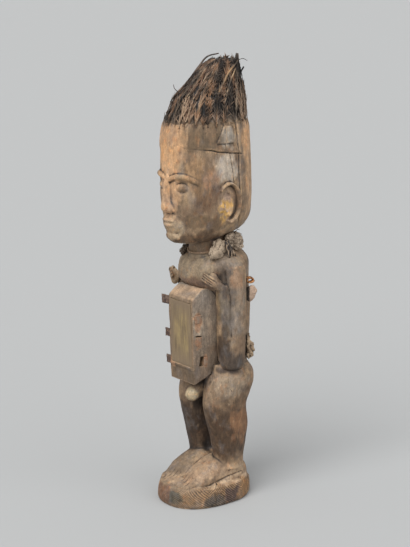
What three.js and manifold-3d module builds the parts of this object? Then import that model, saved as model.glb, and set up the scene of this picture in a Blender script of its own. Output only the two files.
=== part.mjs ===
// A standing power figure carved from one block of wood: a long head with a band and a crest of feathers,
// a thick neck hung with packets of crusted cloth, arms bent up with the hands on the chest, a sealed box
// on the belly held by iron tabs, sturdy legs and an oval plinth. The figure faces -Y, its left side is +X,
// and it stands on Z = 0. All sizes are in millimetres.

import * as THREE from "three";
import { mergeVertices } from "three/addons/utils/BufferGeometryUtils.js";
import Module from "manifold-3d";

const wasm = await Module();
wasm.setup();

// Heights that drive the carving, from the sole of the plinth up
const PLINTH_TOP = 39;
const ANKLE = 92;
const KNEE = 216;
const SEAT = 246;
const ELBOW = 280;
const CHEST = 466;
const SHOULDER = 509;
const CHIN = 536;
const CROWN = 776;
const FEATHER_TOP = 900;

// Half widths and reaches that drive the rest
const PLINTH_HALF_WIDTH = 76;
const PLINTH_HALF_LENGTH = 97;
const LEG_APART = 39;
const FOOT_APART = 27;
const TOES = 5;
const BODY_BACK = 24;
const ARM_APART = 66;
const FOREARM_APART = 63;
const HAND_HEIGHT = { [1]: 463, [-1]: 456 };
const HAND_OUT = { [1]: 0, [-1]: 7 };
const HEAD_HALF_WIDTH = 69;
const FACE_REACH = 90;
const NAPE_REACH = 95;

// Face laid out on thirds between the hairline and the chin
const HAIRLINE = 730;
const THIRD = (HAIRLINE - CHIN) / 3;
const BROW = HAIRLINE - THIRD;
const NOSE_BASE = BROW - THIRD;
const MOUTH = NOSE_BASE - THIRD / 3;
const EYE = BROW - THIRD / 4;

// Room left between two pieces that touch
const GAP = 0.3;
const CLEAR = 0.6;

const X_AXIS = new THREE.Vector3(1, 0, 0);
const Y_AXIS = new THREE.Vector3(0, 1, 0);
const Z_AXIS = new THREE.Vector3(0, 0, 1);
const LEFT = 1;
const RIGHT = -1;
const radians = THREE.MathUtils.degToRad;

// Turns a closed three.js geometry into a solid that can be joined and cut
function solidOf(geometry) {
  geometry.deleteAttribute("normal");
  geometry.deleteAttribute("uv");
  const merged = mergeVertices(geometry, 1e-4);
  return new wasm.Manifold(
    new wasm.Mesh({
      numProp: 3,
      vertProperties: merged.attributes.position.array,
      triVerts: new Uint32Array(merged.index.array),
    }),
  );
}

// Turns a joined solid back into a named mesh with its own material
function meshOf(name, solid, material) {
  const { vertProperties, triVerts } = solid.getMesh();
  const geometry = new THREE.BufferGeometry();
  geometry.setAttribute("position", new THREE.BufferAttribute(vertProperties, 3));
  geometry.setIndex(new THREE.BufferAttribute(triVerts, 1));
  geometry.computeVertexNormals();
  const mesh = new THREE.Mesh(geometry, material);
  mesh.name = name;
  return mesh;
}

function joined(solids) {
  return solids.reduce((whole, next) => whole.add(next));
}

// A solid with others cut away from it
function clearOf(solid, ...others) {
  return others.reduce((whole, other) => whole.subtract(other), solid);
}

// One point of a ring's outline: a superellipse with its own reach to the front and to the back
function outline(cosine, sine, half, front, back, square) {
  const power = 2 / square;
  const across = Math.sign(cosine) * Math.abs(cosine) ** power * half;
  const reach = sine < 0 ? front : back;
  return [across, Math.sign(sine) * Math.abs(sine) ** power * reach];
}

// A stack of rings read as smooth curves. Each ring gives its middle, half width, reach to the front and
// the back, and how square it is, where 2 is an ellipse.
function flowOf(rings) {
  const smooth = (points) => new THREE.CatmullRomCurve3(points, false, "catmullrom", 0.5);
  const middle = smooth(rings.map(({ at }) => new THREE.Vector3(...at)));
  const reach = smooth(
    rings.map(({ half, front = half, back = front }) => new THREE.Vector3(half, front, back)),
  );
  const square = smooth(rings.map(({ square: power = 2 }) => new THREE.Vector3(power, 0, 0)));
  return (t) => ({
    middle: middle.getPoint(t),
    tangent: middle.getTangent(t),
    reach: reach.getPoint(t),
    square: square.getPoint(t).x,
  });
}

// A closed skin over a stack of rings, from a cylinder whose rows are moved on to the rings. Level rings
// stack along one direction; rings that follow turn square to the line through their middles. A swell
// moves the skin out all round.
function skin(rings, { sides, rows, across = X_AXIS, stack = Z_AXIS, follow = false, swell = 0 }) {
  const flow = flowOf(rings);
  const geometry = new THREE.CylinderGeometry(1, 1, 1, sides, rows);
  const position = geometry.attributes.position;
  const point = new THREE.Vector3();
  for (let i = 0; i < position.count; i++) {
    point.fromBufferAttribute(position, i);
    const { middle, tangent, reach, square } = flow(point.y + 0.5);
    const along = follow ? tangent : stack;
    const side = across.clone().addScaledVector(along, -across.dot(along)).normalize();
    const behind = along.clone().cross(side);
    reach.addScalar(swell);
    const radius = Math.hypot(point.x, point.z);
    const [u, v] = radius
      ? outline(point.x / radius, -point.z / radius, reach.x, reach.y, reach.z, square)
      : [0, 0];
    middle.addScaledVector(side, u).addScaledVector(behind, v);
    position.setXYZ(i, middle.x, middle.y, middle.z);
  }
  return solidOf(geometry);
}

// A rounded pebble of three half sizes
function pebble(middle, halves, turn = new THREE.Euler(), sides = 14) {
  const geometry = new THREE.SphereGeometry(1, sides, Math.round(sides * 0.6));
  geometry.scale(...halves);
  geometry.applyMatrix4(new THREE.Matrix4().makeRotationFromEuler(turn));
  geometry.translate(...middle);
  return solidOf(geometry);
}

// A plain block of three full sizes
function block(middle, sizes, turn = new THREE.Euler()) {
  const geometry = new THREE.BoxGeometry(...sizes);
  geometry.applyMatrix4(new THREE.Matrix4().makeRotationFromEuler(turn));
  geometry.translate(...middle);
  return solidOf(geometry);
}

// Plinth: an oval block cut from the same log, upright at the side and sloping up from its rim to the feet
function plinth() {
  const ring = (z, half, front, back) => ({ at: [0, 0, z], half, front, back, square: 2.35 });
  const half = PLINTH_HALF_WIDTH;
  const length = PLINTH_HALF_LENGTH;
  return skin(
    [
      ring(0, half - 4, length - 2, length - 2),
      ring(9, half, length, length),
      ring(30, half - 1, length - 2, length),
      ring(PLINTH_TOP - 1, half - 5, length - 7, length - 5),
      ring(PLINTH_TOP + 6, half - 13, length - 18, length - 14),
      ring(PLINTH_TOP + 11, half - 24, length - 34, length - 26),
    ],
    { sides: 24, rows: 5 },
  );
}

// Foot: a thick wedge that grows into its neighbour and slopes from the ankle to the toes, which end at
// the plinth's rim, with a cut between each two toes
const TOE_CUT = { spread: 54, y: -71, up: 17, width: 2.4, long: 24, deep: 14, slope: radians(33) };

function foot(side) {
  const sole = PLINTH_TOP - 6;
  const ring = (y, half, top) => ({
    at: [side * FOOT_APART, y, (top + sole) / 2],
    half,
    front: (top - sole) / 2,
    back: (top - sole) / 2,
    square: 2.6,
  });
  const rings = [
    ring(-74, 22, sole + 5),
    ring(-70, 27, sole + 10),
    ring(-58, 32, sole + 19),
    ring(-40, 34, sole + 34),
    ring(-18, 34, sole + 48),
    ring(6, 33, sole + 58),
    ring(36, 33, sole + 58),
    ring(63, 31, sole + 44),
    ring(72, 22, sole + 30),
  ];
  let whole = skin(rings, { sides: 10, rows: 7, stack: Y_AXIS });
  for (let i = 1; i < TOES; i++) {
    const lane = side * (FOOT_APART + TOE_CUT.spread * (i / TOES - 0.5));
    const sizes = [TOE_CUT.width, TOE_CUT.long, TOE_CUT.deep];
    const cut = block([lane, TOE_CUT.y, sole + TOE_CUT.up], sizes, new THREE.Euler(TOE_CUT.slope, 0, 0));
    whole = whole.subtract(cut);
  }
  return whole;
}

// Leg: ankle, swelling calf, knee pushed forward, and a heavy thigh that rounds out into the seat
function leg(side) {
  const ring = (z, apart, y, half, front, back) => ({
    at: [side * apart, y, z],
    half,
    front,
    back,
    square: 2.2,
  });
  return skin(
    [
      ring(PLINTH_TOP + 28, 40, 31, 27, 31, 31),
      ring(ANKLE, 40, 31, 27, 32, 32),
      ring(ANKLE + 33, 41, 29, 30, 36, 39),
      ring(ANKLE + 65, 40, 28, 33, 43, 45),
      ring(KNEE - 30, 39, 25, 34, 48, 45),
      ring(KNEE - 12, 39, 24, 35, 50, 46),
      ring(KNEE + 10, 39, 26, 37, 50, 55),
      ring(SEAT, LEG_APART, 29, 38, 49, 59),
      ring(SEAT + 22, LEG_APART, 29, 38, 43, 57),
      ring(SEAT + 42, 32, 27, 34, 38, 48),
    ],
    { sides: 10, rows: 9 },
  );
}

// Torso: flat belly, square back and a rounded chest that juts out over the box
function torso(swell = 0) {
  const ring = (z, half, front, back, square = 2.9) => ({
    at: [0, BODY_BACK, z],
    half,
    front,
    back,
    square,
  });
  return skin(
    [
      ring(SEAT - 6, 50, 18, 40),
      ring(SEAT + 12, 66, 25, 54),
      ring(ELBOW + 4, 66, 25, 56),
      ring(340, 65, 26, 63),
      ring(400, 66, 30, 65),
      ring(430, 66, 42, 65.5, 2.6),
      ring(CHEST - 15, 66, 62, 66, 2.4),
      ring(CHEST + 8, 66, 67, 66.5, 2.4),
      ring(SHOULDER - 16, 66, 59, 64, 2.5),
      ring(SHOULDER - 4, 60, 47, 58, 2.4),
      ring(SHOULDER + 3, 50, 36, 52, 2.2),
      ring(SHOULDER + 12, 38, 26, 47, 2.1),
      ring(SHOULDER + 18, 30, 18, 38, 2),
    ],
    { sides: 14, rows: 10, swell },
  );
}

// Arm: the upper arm hangs down, the forearm folds back up against it, and both end in one blunt elbow
function arm(side) {
  const ring = (z, apart, y, half, deep) => ({
    at: [side * apart, y, z],
    half,
    front: deep,
    back: deep,
    square: 2.3,
  });
  const upper = skin(
    [
      ring(ELBOW + 6, ARM_APART, 25, 17, 19),
      ring(ELBOW + 40, ARM_APART, 27, 20, 20),
      ring(380, ARM_APART, 27, 20, 20),
      ring(CHEST - 10, ARM_APART, 26, 20, 21),
      ring(SHOULDER - 20, ARM_APART - 3, 25, 20, 25),
      ring(SHOULDER - 7, ARM_APART - 11, 24, 16, 23),
      ring(SHOULDER - 1, ARM_APART - 18, 24, 9, 13),
    ],
    { sides: 10, rows: 7 },
  );
  const elbow = skin(
    [
      ring(ELBOW - 1, FOREARM_APART, 24, 10, 16),
      ring(ELBOW + 5, FOREARM_APART, 23, 18, 24),
      ring(ELBOW + 18, FOREARM_APART, 22, 21, 27),
      ring(ELBOW + 48, FOREARM_APART, 21, 21, 26),
      ring(ELBOW + 70, FOREARM_APART, 20, 16, 20),
    ],
    { sides: 9, rows: 4 },
  );
  const forearm = skin(
    [
      ring(ELBOW + 16, FOREARM_APART - 3, 8, 17, 13),
      ring(ELBOW + 62, FOREARM_APART - 4, 6, 17, 13),
      ring(CHEST - 42, FOREARM_APART - 2, 0, 15, 12),
      ring(CHEST - 12, FOREARM_APART + 3, -7, 11, 10),
    ],
    { sides: 8, rows: 3 },
  );
  return [upper, elbow, forearm, ...hand(side)];
}

// Hand: laid on the chest with its fingers pointing in and up, and a thumb along its upper edge
function hand(side) {
  const at = (x, y, up) => [side * (x + HAND_OUT[side]), y - HAND_OUT[side] / 2, HAND_HEIGHT[side] + up];
  const palm = skin(
    [
      { at: at(69, -8, -15), half: 9, front: 8, back: 8 },
      { at: at(65, -17, -7), half: 11, front: 8, back: 8 },
      { at: at(58, -26, 1), half: 12, front: 7, back: 8 },
      { at: at(50, -33, 8), half: 10, front: 6, back: 7 },
      { at: at(44, -37, 12), half: 6, front: 3, back: 4 },
    ],
    { sides: 8, rows: 6, across: new THREE.Vector3(side * 0.5, 0, 1), follow: true },
  );
  const thumb = skin(
    [
      { at: at(67, -9, -2), half: 5 },
      { at: at(62, -20, 11), half: 5 },
      { at: at(55, -28, 17), half: 3 },
    ],
    { sides: 6, rows: 4, follow: true },
  );
  return [palm, thumb];
}

// Cuts between the fingers, worked out across the width of the hand
const FINGER_CUT = { apart: 5.8, long: 26, deep: 8, width: 1.6, rise: radians(36), inward: radians(-26) };

function fingerGrooves(side) {
  const turn = new THREE.Euler(0, side * FINGER_CUT.rise, side * FINGER_CUT.inward);
  const sizes = [FINGER_CUT.long, FINGER_CUT.deep, FINGER_CUT.width];
  return [-1, 0, 1].map((step) => {
    const height = HAND_HEIGHT[side] + 6 + step * FINGER_CUT.apart;
    const apart = 54 + step * 3 + HAND_OUT[side];
    return block([side * apart, -38 - HAND_OUT[side] / 2, height], sizes, turn);
  });
}

// Loin boss: a short blunt bulge carved below the box
function loinBoss() {
  return skin(
    [
      { at: [0, -41, 213], half: 5 },
      { at: [0, -37, 216], half: 12 },
      { at: [0, -27, 222], half: 16 },
      { at: [0, -10, 234], half: 17.5 },
      { at: [0, 8, 246], half: 17 },
    ],
    { sides: 8, rows: 6, follow: true },
  );
}

function neck(swell = 0) {
  const ring = (z, y, half, deep) => ({ at: [0, y, z], half, front: deep, back: deep, square: 2.2 });
  return skin(
    [
      ring(SHOULDER - 16, 16, 42, 46),
      ring(SHOULDER + 4, 13, 37, 41),
      ring(CHIN + 4, 10, 36, 40),
      ring(CHIN + 44, 6, 40, 46),
    ],
    { sides: 12, rows: 3, swell },
  );
}

// Head: a deep block whose underside climbs from the chin to the nape
const HEAD_RINGS = [
  { at: [0, -44, CHIN], half: 24, front: 28, back: 28, square: 2.3 },
  { at: [0, -28, CHIN + 7], half: 40, front: 50, back: 56, square: 2.3 },
  { at: [0, -8, CHIN + 22], half: 54, front: 72, back: 88, square: 2.3 },
  { at: [0, 2, CHIN + 44], half: 63, front: 84, back: 93, square: 2.35 },
  { at: [0, 2, CHIN + 74], half: 68, front: 88, back: NAPE_REACH, square: 2.4 },
  { at: [0, 2, CHIN + 110], half: HEAD_HALF_WIDTH, front: FACE_REACH, back: NAPE_REACH, square: 2.4 },
  { at: [0, 2, CHIN + 150], half: HEAD_HALF_WIDTH, front: FACE_REACH, back: NAPE_REACH - 1, square: 2.4 },
  { at: [0, 2, HAIRLINE - 6], half: 68, front: FACE_REACH, back: NAPE_REACH - 3, square: 2.4 },
  { at: [0, 2, CROWN - 22], half: 66, front: 86, back: NAPE_REACH - 5, square: 2.4 },
  { at: [0, 2, CROWN - 7], half: 62, front: 81, back: NAPE_REACH - 8, square: 2.4 },
  { at: [0, 2, CROWN], half: 56, front: 74, back: NAPE_REACH - 14, square: 2.4 },
];
const headFlow = flowOf(HEAD_RINGS);

function headBlock(swell = 0) {
  return skin(HEAD_RINGS, { sides: 18, rows: 11, swell });
}

// The point of the head's skin at a turn from the face's midline and a height, moved out by some millimetres
function onHead(side, degrees, z, out = 0) {
  let low = 0;
  let high = 1;
  for (let i = 0; i < 24; i++) {
    const half = (low + high) / 2;
    if (headFlow(half).middle.z < z) low = half;
    else high = half;
  }
  const { middle, reach, square } = headFlow(low);
  const turn = radians(degrees);
  reach.addScalar(out);
  const [u, v] = outline(Math.sin(turn), -Math.cos(turn), reach.x, reach.y, reach.z, square);
  return [side * u, middle.y + v, z];
}

// Band round the head, tilted down to the nape, with a tapered tab above each ear
const BAND = { tilt: radians(8.5), bottom: 716, height: 18, proud: 3 };
const TEMPLE_TAB = { y: 8, lowHalf: 17, highFront: 1, highBack: 14, tall: 32, deep: 40, inner: 45 };

function band() {
  const slab = block(
    [0, 0, BAND.bottom + BAND.height / 2],
    [300, 300, BAND.height],
    new THREE.Euler(-BAND.tilt, 0, 0),
  );
  const strap = headBlock(BAND.proud).intersect(slab);
  const tabs = [LEFT, RIGHT].map((side) => {
    const shape = new THREE.Shape([
      new THREE.Vector2(-TEMPLE_TAB.lowHalf, 0),
      new THREE.Vector2(TEMPLE_TAB.lowHalf, 0),
      new THREE.Vector2(TEMPLE_TAB.highBack, TEMPLE_TAB.tall),
      new THREE.Vector2(TEMPLE_TAB.highFront, TEMPLE_TAB.tall),
    ]);
    const geometry = new THREE.ExtrudeGeometry(shape, { depth: TEMPLE_TAB.deep, bevelEnabled: false });
    geometry.applyMatrix4(new THREE.Matrix4().makeBasis(Y_AXIS, Z_AXIS, X_AXIS));
    const start = side > 0 ? TEMPLE_TAB.inner : -TEMPLE_TAB.inner - TEMPLE_TAB.deep;
    geometry.translate(start, TEMPLE_TAB.y, HAIRLINE);
    return headBlock(BAND.proud).intersect(solidOf(geometry));
  });
  return [strap, ...tabs];
}

// Ear: a C-shaped rim standing off the side of the head round a raised inner fold
const EAR = { y: 6, z: 616, halfWidth: 25, halfHeight: 38 };

function ear(side) {
  const rim = [];
  for (let turn = 140; turn >= -85; turn -= 25) {
    const y = EAR.y + EAR.halfWidth * Math.cos(radians(turn));
    const z = EAR.z + EAR.halfHeight * Math.sin(radians(turn));
    const lift = 69 + 3 * Math.cos(radians(turn - 20));
    rim.push({ at: [side * lift, y, z], half: 7.5, front: 4.2, back: 4.2 });
  }
  const lean = new THREE.Euler(radians(-8), 0, 0);
  return [
    skin(rim, { sides: 6, rows: 9, across: new THREE.Vector3(side, 0, 0), follow: true }),
    pebble([side * 67, EAR.y - 4, EAR.z - 3], [8, 11, 25], lean, 8),
  ];
}

function earBowl(side) {
  const halves = [12, EAR.halfWidth - 2, EAR.halfHeight - 3];
  return pebble([side * 76, EAR.y, EAR.z], halves, new THREE.Euler(), 10);
}

// Nose: a long straight ridge that widens into small wings
function nose() {
  const front = (z) => -onHead(LEFT, 0, z)[1];
  const set = 10;
  const ring = (z, half, proud) => ({
    at: [0, set - front(z), z],
    half,
    front: proud + set,
    back: 6,
    square: 1.8,
  });
  return skin(
    [
      ring(NOSE_BASE - 3, 11, 8),
      ring(NOSE_BASE + 2, 15, 15),
      ring(NOSE_BASE + 10, 14, 18),
      ring(NOSE_BASE + 22, 10, 16),
      ring(BROW - 20, 8.5, 12),
      ring(BROW - 4, 9, 8),
      ring(BROW + 12, 12, 2),
    ],
    { sides: 8, rows: 7 },
  );
}

// Brow: one raised arch on each side, from the root of the nose to the temple
function brow(side) {
  const rings = [
    { at: onHead(side, 3, BROW - 2, -1), half: 5 },
    { at: onHead(side, 14, BROW + 4, 0), half: 6 },
    { at: onHead(side, 30, BROW + 5, 0), half: 6 },
    { at: onHead(side, 46, BROW - 2, -1), half: 5 },
    { at: onHead(side, 58, BROW - 12, -3), half: 3 },
  ];
  return skin(rings, { sides: 6, rows: 6, across: Z_AXIS, follow: true });
}

// Eye: a shallow socket under the brow that holds a lowered, almond-shaped lid with a slit below it
const EYE_TURN = 25;

function eyePlace(side, out) {
  const middle = onHead(side, EYE_TURN, EYE, out);
  return { middle, turn: new THREE.Euler(radians(-4), 0, side * radians(EYE_TURN + 2)) };
}

function eyeSocket(side) {
  const { middle, turn } = eyePlace(side, 2);
  return pebble(middle, [20, 8, 13], turn, 8);
}

function eyelid(side) {
  const { middle, turn } = eyePlace(side, -7);
  return pebble(middle, [16, 8, 9], turn, 8);
}

function eyeSlit(side) {
  const { middle, turn } = eyePlace(side, 1);
  middle[2] -= 2.5;
  return pebble(middle, [13, 4, 0.9], turn, 6);
}

// Mouth: a soft muzzle with two closed lips, and a chin below
function mouth() {
  const front = onHead(LEFT, 0, MOUTH)[1];
  const flat = new THREE.Euler();
  return [
    pebble([0, front + 5, MOUTH], [28, 13, 24], flat, 8),
    pebble([0, front - 5, MOUTH + 4.2], [19, 7, 4.4], new THREE.Euler(radians(-12), 0, 0), 8),
    pebble([0, front - 4, MOUTH - 4.6], [16, 7, 4.8], new THREE.Euler(radians(12), 0, 0), 8),
    pebble([0, onHead(LEFT, 0, CHIN + 18)[1] + 9, CHIN + 15], [24, 15, 13], flat, 8),
  ];
}

// The whole carving is one solid: everything above is joined, then the hollows are cut
function carvedFigure() {
  const sides = [LEFT, RIGHT];
  const body = joined([
    plinth(),
    ...sides.map(foot),
    ...sides.map(leg),
    torso(),
    ...sides.flatMap(arm),
    loinBoss(),
    neck(),
  ]);
  const hollows = [...sides.map(earBowl), ...sides.map(eyeSocket)];
  const head = joined([
    clearOf(joined([headBlock(), ...band(), nose(), ...mouth()]), ...hollows),
    ...sides.map(brow),
    ...sides.map(eyelid),
    ...sides.flatMap(ear),
  ]);
  return clearOf(body.add(head), ...sides.flatMap(fingerGrooves), ...sides.map(eyeSlit), boxBody(GAP));
}

// Belly box: a sealed wooden box with a raked top, let into the belly between the forearms
const BOX = {
  halfWidth: 39,
  front: -60,
  back: 4,
  bottom: 251,
  ridge: 283,
  backBottom: 275,
  frontTop: 426,
  backTop: 446,
  lean: 4,
  tuck: 6,
  slope: 26,
  edge: 3,
};

function boxBody(swell = 0) {
  const e = BOX.edge;
  const shape = new THREE.Shape([
    new THREE.Vector2(boxFrontAt(BOX.ridge) + e - swell, BOX.ridge),
    new THREE.Vector2(BOX.front + BOX.tuck + e - swell, BOX.bottom + e - swell),
    new THREE.Vector2(BOX.back + swell, BOX.backBottom + e - swell),
    new THREE.Vector2(BOX.back + swell, BOX.backTop - e + swell),
    new THREE.Vector2(BOX.front + BOX.slope + e, BOX.backTop - e + swell),
    new THREE.Vector2(BOX.front + e - swell, BOX.frontTop - e + swell),
  ]);
  const depth = 2 * (BOX.halfWidth - e + swell);
  const geometry = new THREE.ExtrudeGeometry(shape, {
    depth,
    bevelThickness: e,
    bevelSize: e,
    bevelSegments: 2,
  });
  geometry.applyMatrix4(new THREE.Matrix4().makeBasis(Y_AXIS, Z_AXIS, X_AXIS));
  geometry.translate(-depth / 2, 0, 0);
  return solidOf(geometry);
}

// The box's front leans with the chest
const BOX_LEAN = Math.atan2(BOX.lean, BOX.frontTop - BOX.bottom);
const PANE = { halfWidth: 33, bottom: 288, top: 418, thick: 3, sunk: 1 };

function boxFrontAt(z) {
  return BOX.front + (BOX.frontTop - z) * Math.tan(BOX_LEAN);
}

function pane(swell = 0, out = 0) {
  const z = (PANE.bottom + PANE.top) / 2;
  const thick = PANE.thick + out + swell;
  const y = boxFrontAt(z) + PANE.sunk + (PANE.thick + swell - out) / 2;
  const sizes = [2 * (PANE.halfWidth + swell), thick, PANE.top - PANE.bottom + 2 * swell];
  return block([0, y, z], sizes, new THREE.Euler(BOX_LEAN, 0, 0));
}

// Iron tabs: strips driven through the front edge of the box. On the right side they stand out, on the left
// side they are hammered down flat beside the slots they came through.
const TAB = { tall: 18, thick: 2, deep: 12, inset: 6 };
const TABS_OUT = [
  { name: "upper", z: 411, reach: 30, turn: 1, tall: 19 },
  { name: "middle", z: 344, reach: 18, turn: 7, tall: 18 },
  { name: "lower", z: 288, reach: 19, turn: -1, tall: 18 },
];
const TABS_FLAT = [
  { name: "upper", z: 386, y: -45, wide: 16, slot: 0 },
  { name: "middle", z: 340, y: -43, wide: 12, slot: 3 },
  { name: "lower", z: 298, y: -26, wide: 9, slot: 9 },
];

function tabOut({ z, reach, turn, tall }, swell = 0) {
  const length = reach + TAB.deep;
  const sizes = [length + 2 * swell, TAB.thick + 2 * swell, tall + 2 * swell];
  const middle = [-(BOX.halfWidth - TAB.deep + length / 2), boxFrontAt(z) + TAB.inset, z];
  return block(middle, sizes, new THREE.Euler(0, radians(-3), radians(turn)));
}

function tabFlat({ z, y, wide }, swell = 0) {
  const sizes = [TAB.thick + 2 * swell, wide + 2 * swell, TAB.tall + 2 * swell];
  return block([BOX.halfWidth - 0.2, y, z], sizes, new THREE.Euler(0, 0, radians(2)));
}

// The open slot beside a flattened tab
function slotBeside({ z, y, wide, slot }) {
  const lean = new THREE.Euler(radians(-8), 0, 0);
  if (slot > 5) return [block([BOX.halfWidth, y - wide / 2 - slot / 2 - 0.5, z], [24, slot, 20], lean)];
  if (slot > 0) return [block([BOX.halfWidth, y, z + TAB.tall / 2 + slot / 2], [24, wide + 4, slot], lean)];
  return [];
}

function bellyBox() {
  return clearOf(
    boxBody(),
    pane(GAP, 4),
    ...TABS_OUT.map((tab) => tabOut(tab, GAP)),
    ...TABS_FLAT.map((tab) => tabFlat(tab, GAP)),
    ...TABS_FLAT.flatMap(slotBeside),
  );
}

// What the pieces at the neck rest against: the neck, the underside of the head and the shoulders
function aroundNeck(swell) {
  return joined([neck(swell), headBlock(CLEAR), torso(CLEAR), ...[LEFT, RIGHT].flatMap(arm)]);
}

// Neck cord: one twisted cord laid round the foot of the neck, higher over the nape
const CORD = { y: 13, z: SHOULDER + 12, half: 39.5, deep: 44, radius: 2.2, tilt: radians(12) };

function neckCord(swell = 0) {
  const geometry = new THREE.TorusGeometry(CORD.half, CORD.radius + swell, 4, 18);
  geometry.scale(1, CORD.deep / CORD.half, 1);
  geometry.rotateX(CORD.tilt);
  geometry.translate(0, CORD.y, CORD.z);
  return solidOf(geometry);
}

// Neck packets: crusted lumps of folded cloth tied to the cord, each given by the lumps it is made of
const PACKETS = {
  neck_packet_left: [
    { at: [47, -4, 519], halves: [13, 19, 13] },
    { at: [44, 4, 532], halves: [11, 13, 10] },
    { at: [51, -17, 514], halves: [10, 10, 9] },
  ],
  neck_packet_back_left: [
    { at: [38, 43, 534], halves: [18, 19, 18] },
    { at: [46, 29, 541], halves: [10, 10, 10] },
    { at: [33, 58, 529], halves: [10, 11, 12] },
    { at: [47, 48, 523], halves: [10, 11, 9] },
  ],
  neck_packet_right: [
    { at: [-43, -8, 511], halves: [9, 14, 10] },
    { at: [-40, -20, 506], halves: [7, 8, 8] },
    { at: [-45, 7, 518], halves: [8, 11, 8] },
  ],
};

function packet(lumps, swell = 0) {
  const flat = new THREE.Euler();
  return joined(lumps.map(({ at, halves }) => pebble(at, halves.map((half) => half + swell), flat, 6)));
}

// Neck quills: a few cut quills tucked in between the two left packets
const QUILLS = [
  { from: [53, 13, 536], to: [61, 15, 508] },
  { from: [50, 20, 537], to: [60, 22, 506] },
  { from: [52, 16, 534], to: [60, 29, 509] },
];

function neckQuills() {
  return joined(
    QUILLS.map(({ from, to }) => {
      const middle = from.map((v, k) => (v + to[k]) / 2);
      const rings = [
        { at: from, half: 2.4 },
        { at: middle, half: 3 },
        { at: to, half: 1.6 },
      ];
      return skin(rings, { sides: 5, rows: 2, follow: true });
    }),
  );
}

// Back ring: a coil of copper wire fixed on the corner of the back
const COIL = { at: [71, 59, 457], radius: 7, wire: 2.2, turn: radians(-22) };

function backRing() {
  const turns = [-1, 1].map((side) => {
    const geometry = new THREE.TorusGeometry(COIL.radius, COIL.wire, 4, 9);
    geometry.rotateY(radians(90));
    geometry.translate((side * COIL.wire) / 2, 0, 0);
    geometry.rotateZ(COIL.turn);
    geometry.translate(...COIL.at);
    return solidOf(geometry);
  });
  return joined(turns);
}

// Back packets: a flat oval pod hung under the ring, and a folded leaf bundle with its tied end up
const POD_TURN = radians(68);
const BUNDLE_TURN = radians(52);

function backPacketUpper() {
  const turn = new THREE.Euler(0, radians(14), POD_TURN);
  return joined([
    pebble([73, 59, 430], [12, 7, 18], turn, 9),
    pebble([74, 61, 436], [13, 6, 9], turn, 8),
  ]);
}

function backPacketLower() {
  const turn = (tip) => new THREE.Euler(0, radians(tip), BUNDLE_TURN);
  return joined([
    pebble([67, 63, 313], [12, 9, 21], turn(4), 9),
    pebble([69, 60, 320], [8, 6, 13], turn(-12), 6),
    block([64, 61, 338], [8, 5, 22], turn(4)),
  ]);
}

// Feather crest: narrow feathers rooted over the flat of the crown, swept up and back to one ragged peak.
// The mat is where their lower ends are pressed together.
const PEAK = new THREE.Vector3(6, 40, FEATHER_TOP - 2);
const CREST = [
  { count: 18, reach: 1, bow: 14, gather: 0.4, shortest: 0.66, width: 11, rows: 3 },
  { count: 7, reach: 0.6, bow: 8, gather: 0.5, shortest: 0.86, width: 13, rows: 2 },
];

function feather({ reach, bow, gather, shortest, width, rows }, turn, step) {
  const outward = new THREE.Vector3(Math.sin(turn), -Math.cos(turn), 0);
  const centre = new THREE.Vector3(0, 4, CROWN + 3);
  const offset = new THREE.Vector3(54 * outward.x, 76 * outward.y, 0).multiplyScalar(reach);
  const root = centre.clone().add(offset);
  const length = THREE.MathUtils.lerp(shortest, 1, ((step * 5) % 8) / 7);
  const tip = root.clone().lerp(PEAK.clone().addScaledVector(offset, gather), length);
  const along = (t) => root.clone().lerp(tip, t).addScaledVector(outward, bow * 4 * t * (1 - t));
  const rings = [0, 0.33, 0.67, 1].map((t) => ({
    at: along(t).toArray(),
    half: width * (1 - 0.72 * t),
    front: 2.4 - t,
    back: 2.4 - t,
    square: 1.2,
  }));
  const across = new THREE.Vector3(-outward.y, outward.x, 0);
  return skin(rings, { sides: 4, rows, across, follow: true });
}

function featherCrest() {
  const mat = skin(
    [
      { at: [0, 3, CROWN + GAP], half: 54, front: 75, back: 77 },
      { at: [0, 3, CROWN + 4], half: 53, front: 74, back: 76 },
      { at: [0, 4, CROWN + 9], half: 44, front: 62, back: 66 },
    ],
    { sides: 18, rows: 2 },
  );
  const feathers = CREST.flatMap((row) =>
    Array.from({ length: row.count }, (_, i) => feather(row, (2 * Math.PI * (i + 0.5)) / row.count, i)),
  );
  const crownTop = block([0, 0, CROWN + GAP - 20], [400, 400, 40]);
  return clearOf(joined([mat, ...feathers]), crownTop);
}

const finish = (color, roughness, metalness = 0) =>
  new THREE.MeshStandardMaterial({ color, roughness, metalness });
const wood = finish(0x6e5a48, 0.75);
const boxWood = finish(0x7d6753, 0.8);
const dulledGlass = finish(0x85754a, 0.45);
const iron = finish(0x4a3532, 0.85, 0.3);
const fibre = finish(0x8a6a48, 0.9);
const crustedCloth = finish(0x8b7b68, 0.95);
const quill = finish(0x3b3028, 0.7);
const copper = finish(0xb87040, 0.4, 0.9);
const vane = finish(0x34261f, 0.8);

const cord = clearOf(neckCord(), aroundNeck(CLEAR));
const hung = aroundNeck(2 * CORD.radius).add(neckCord(GAP));

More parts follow.
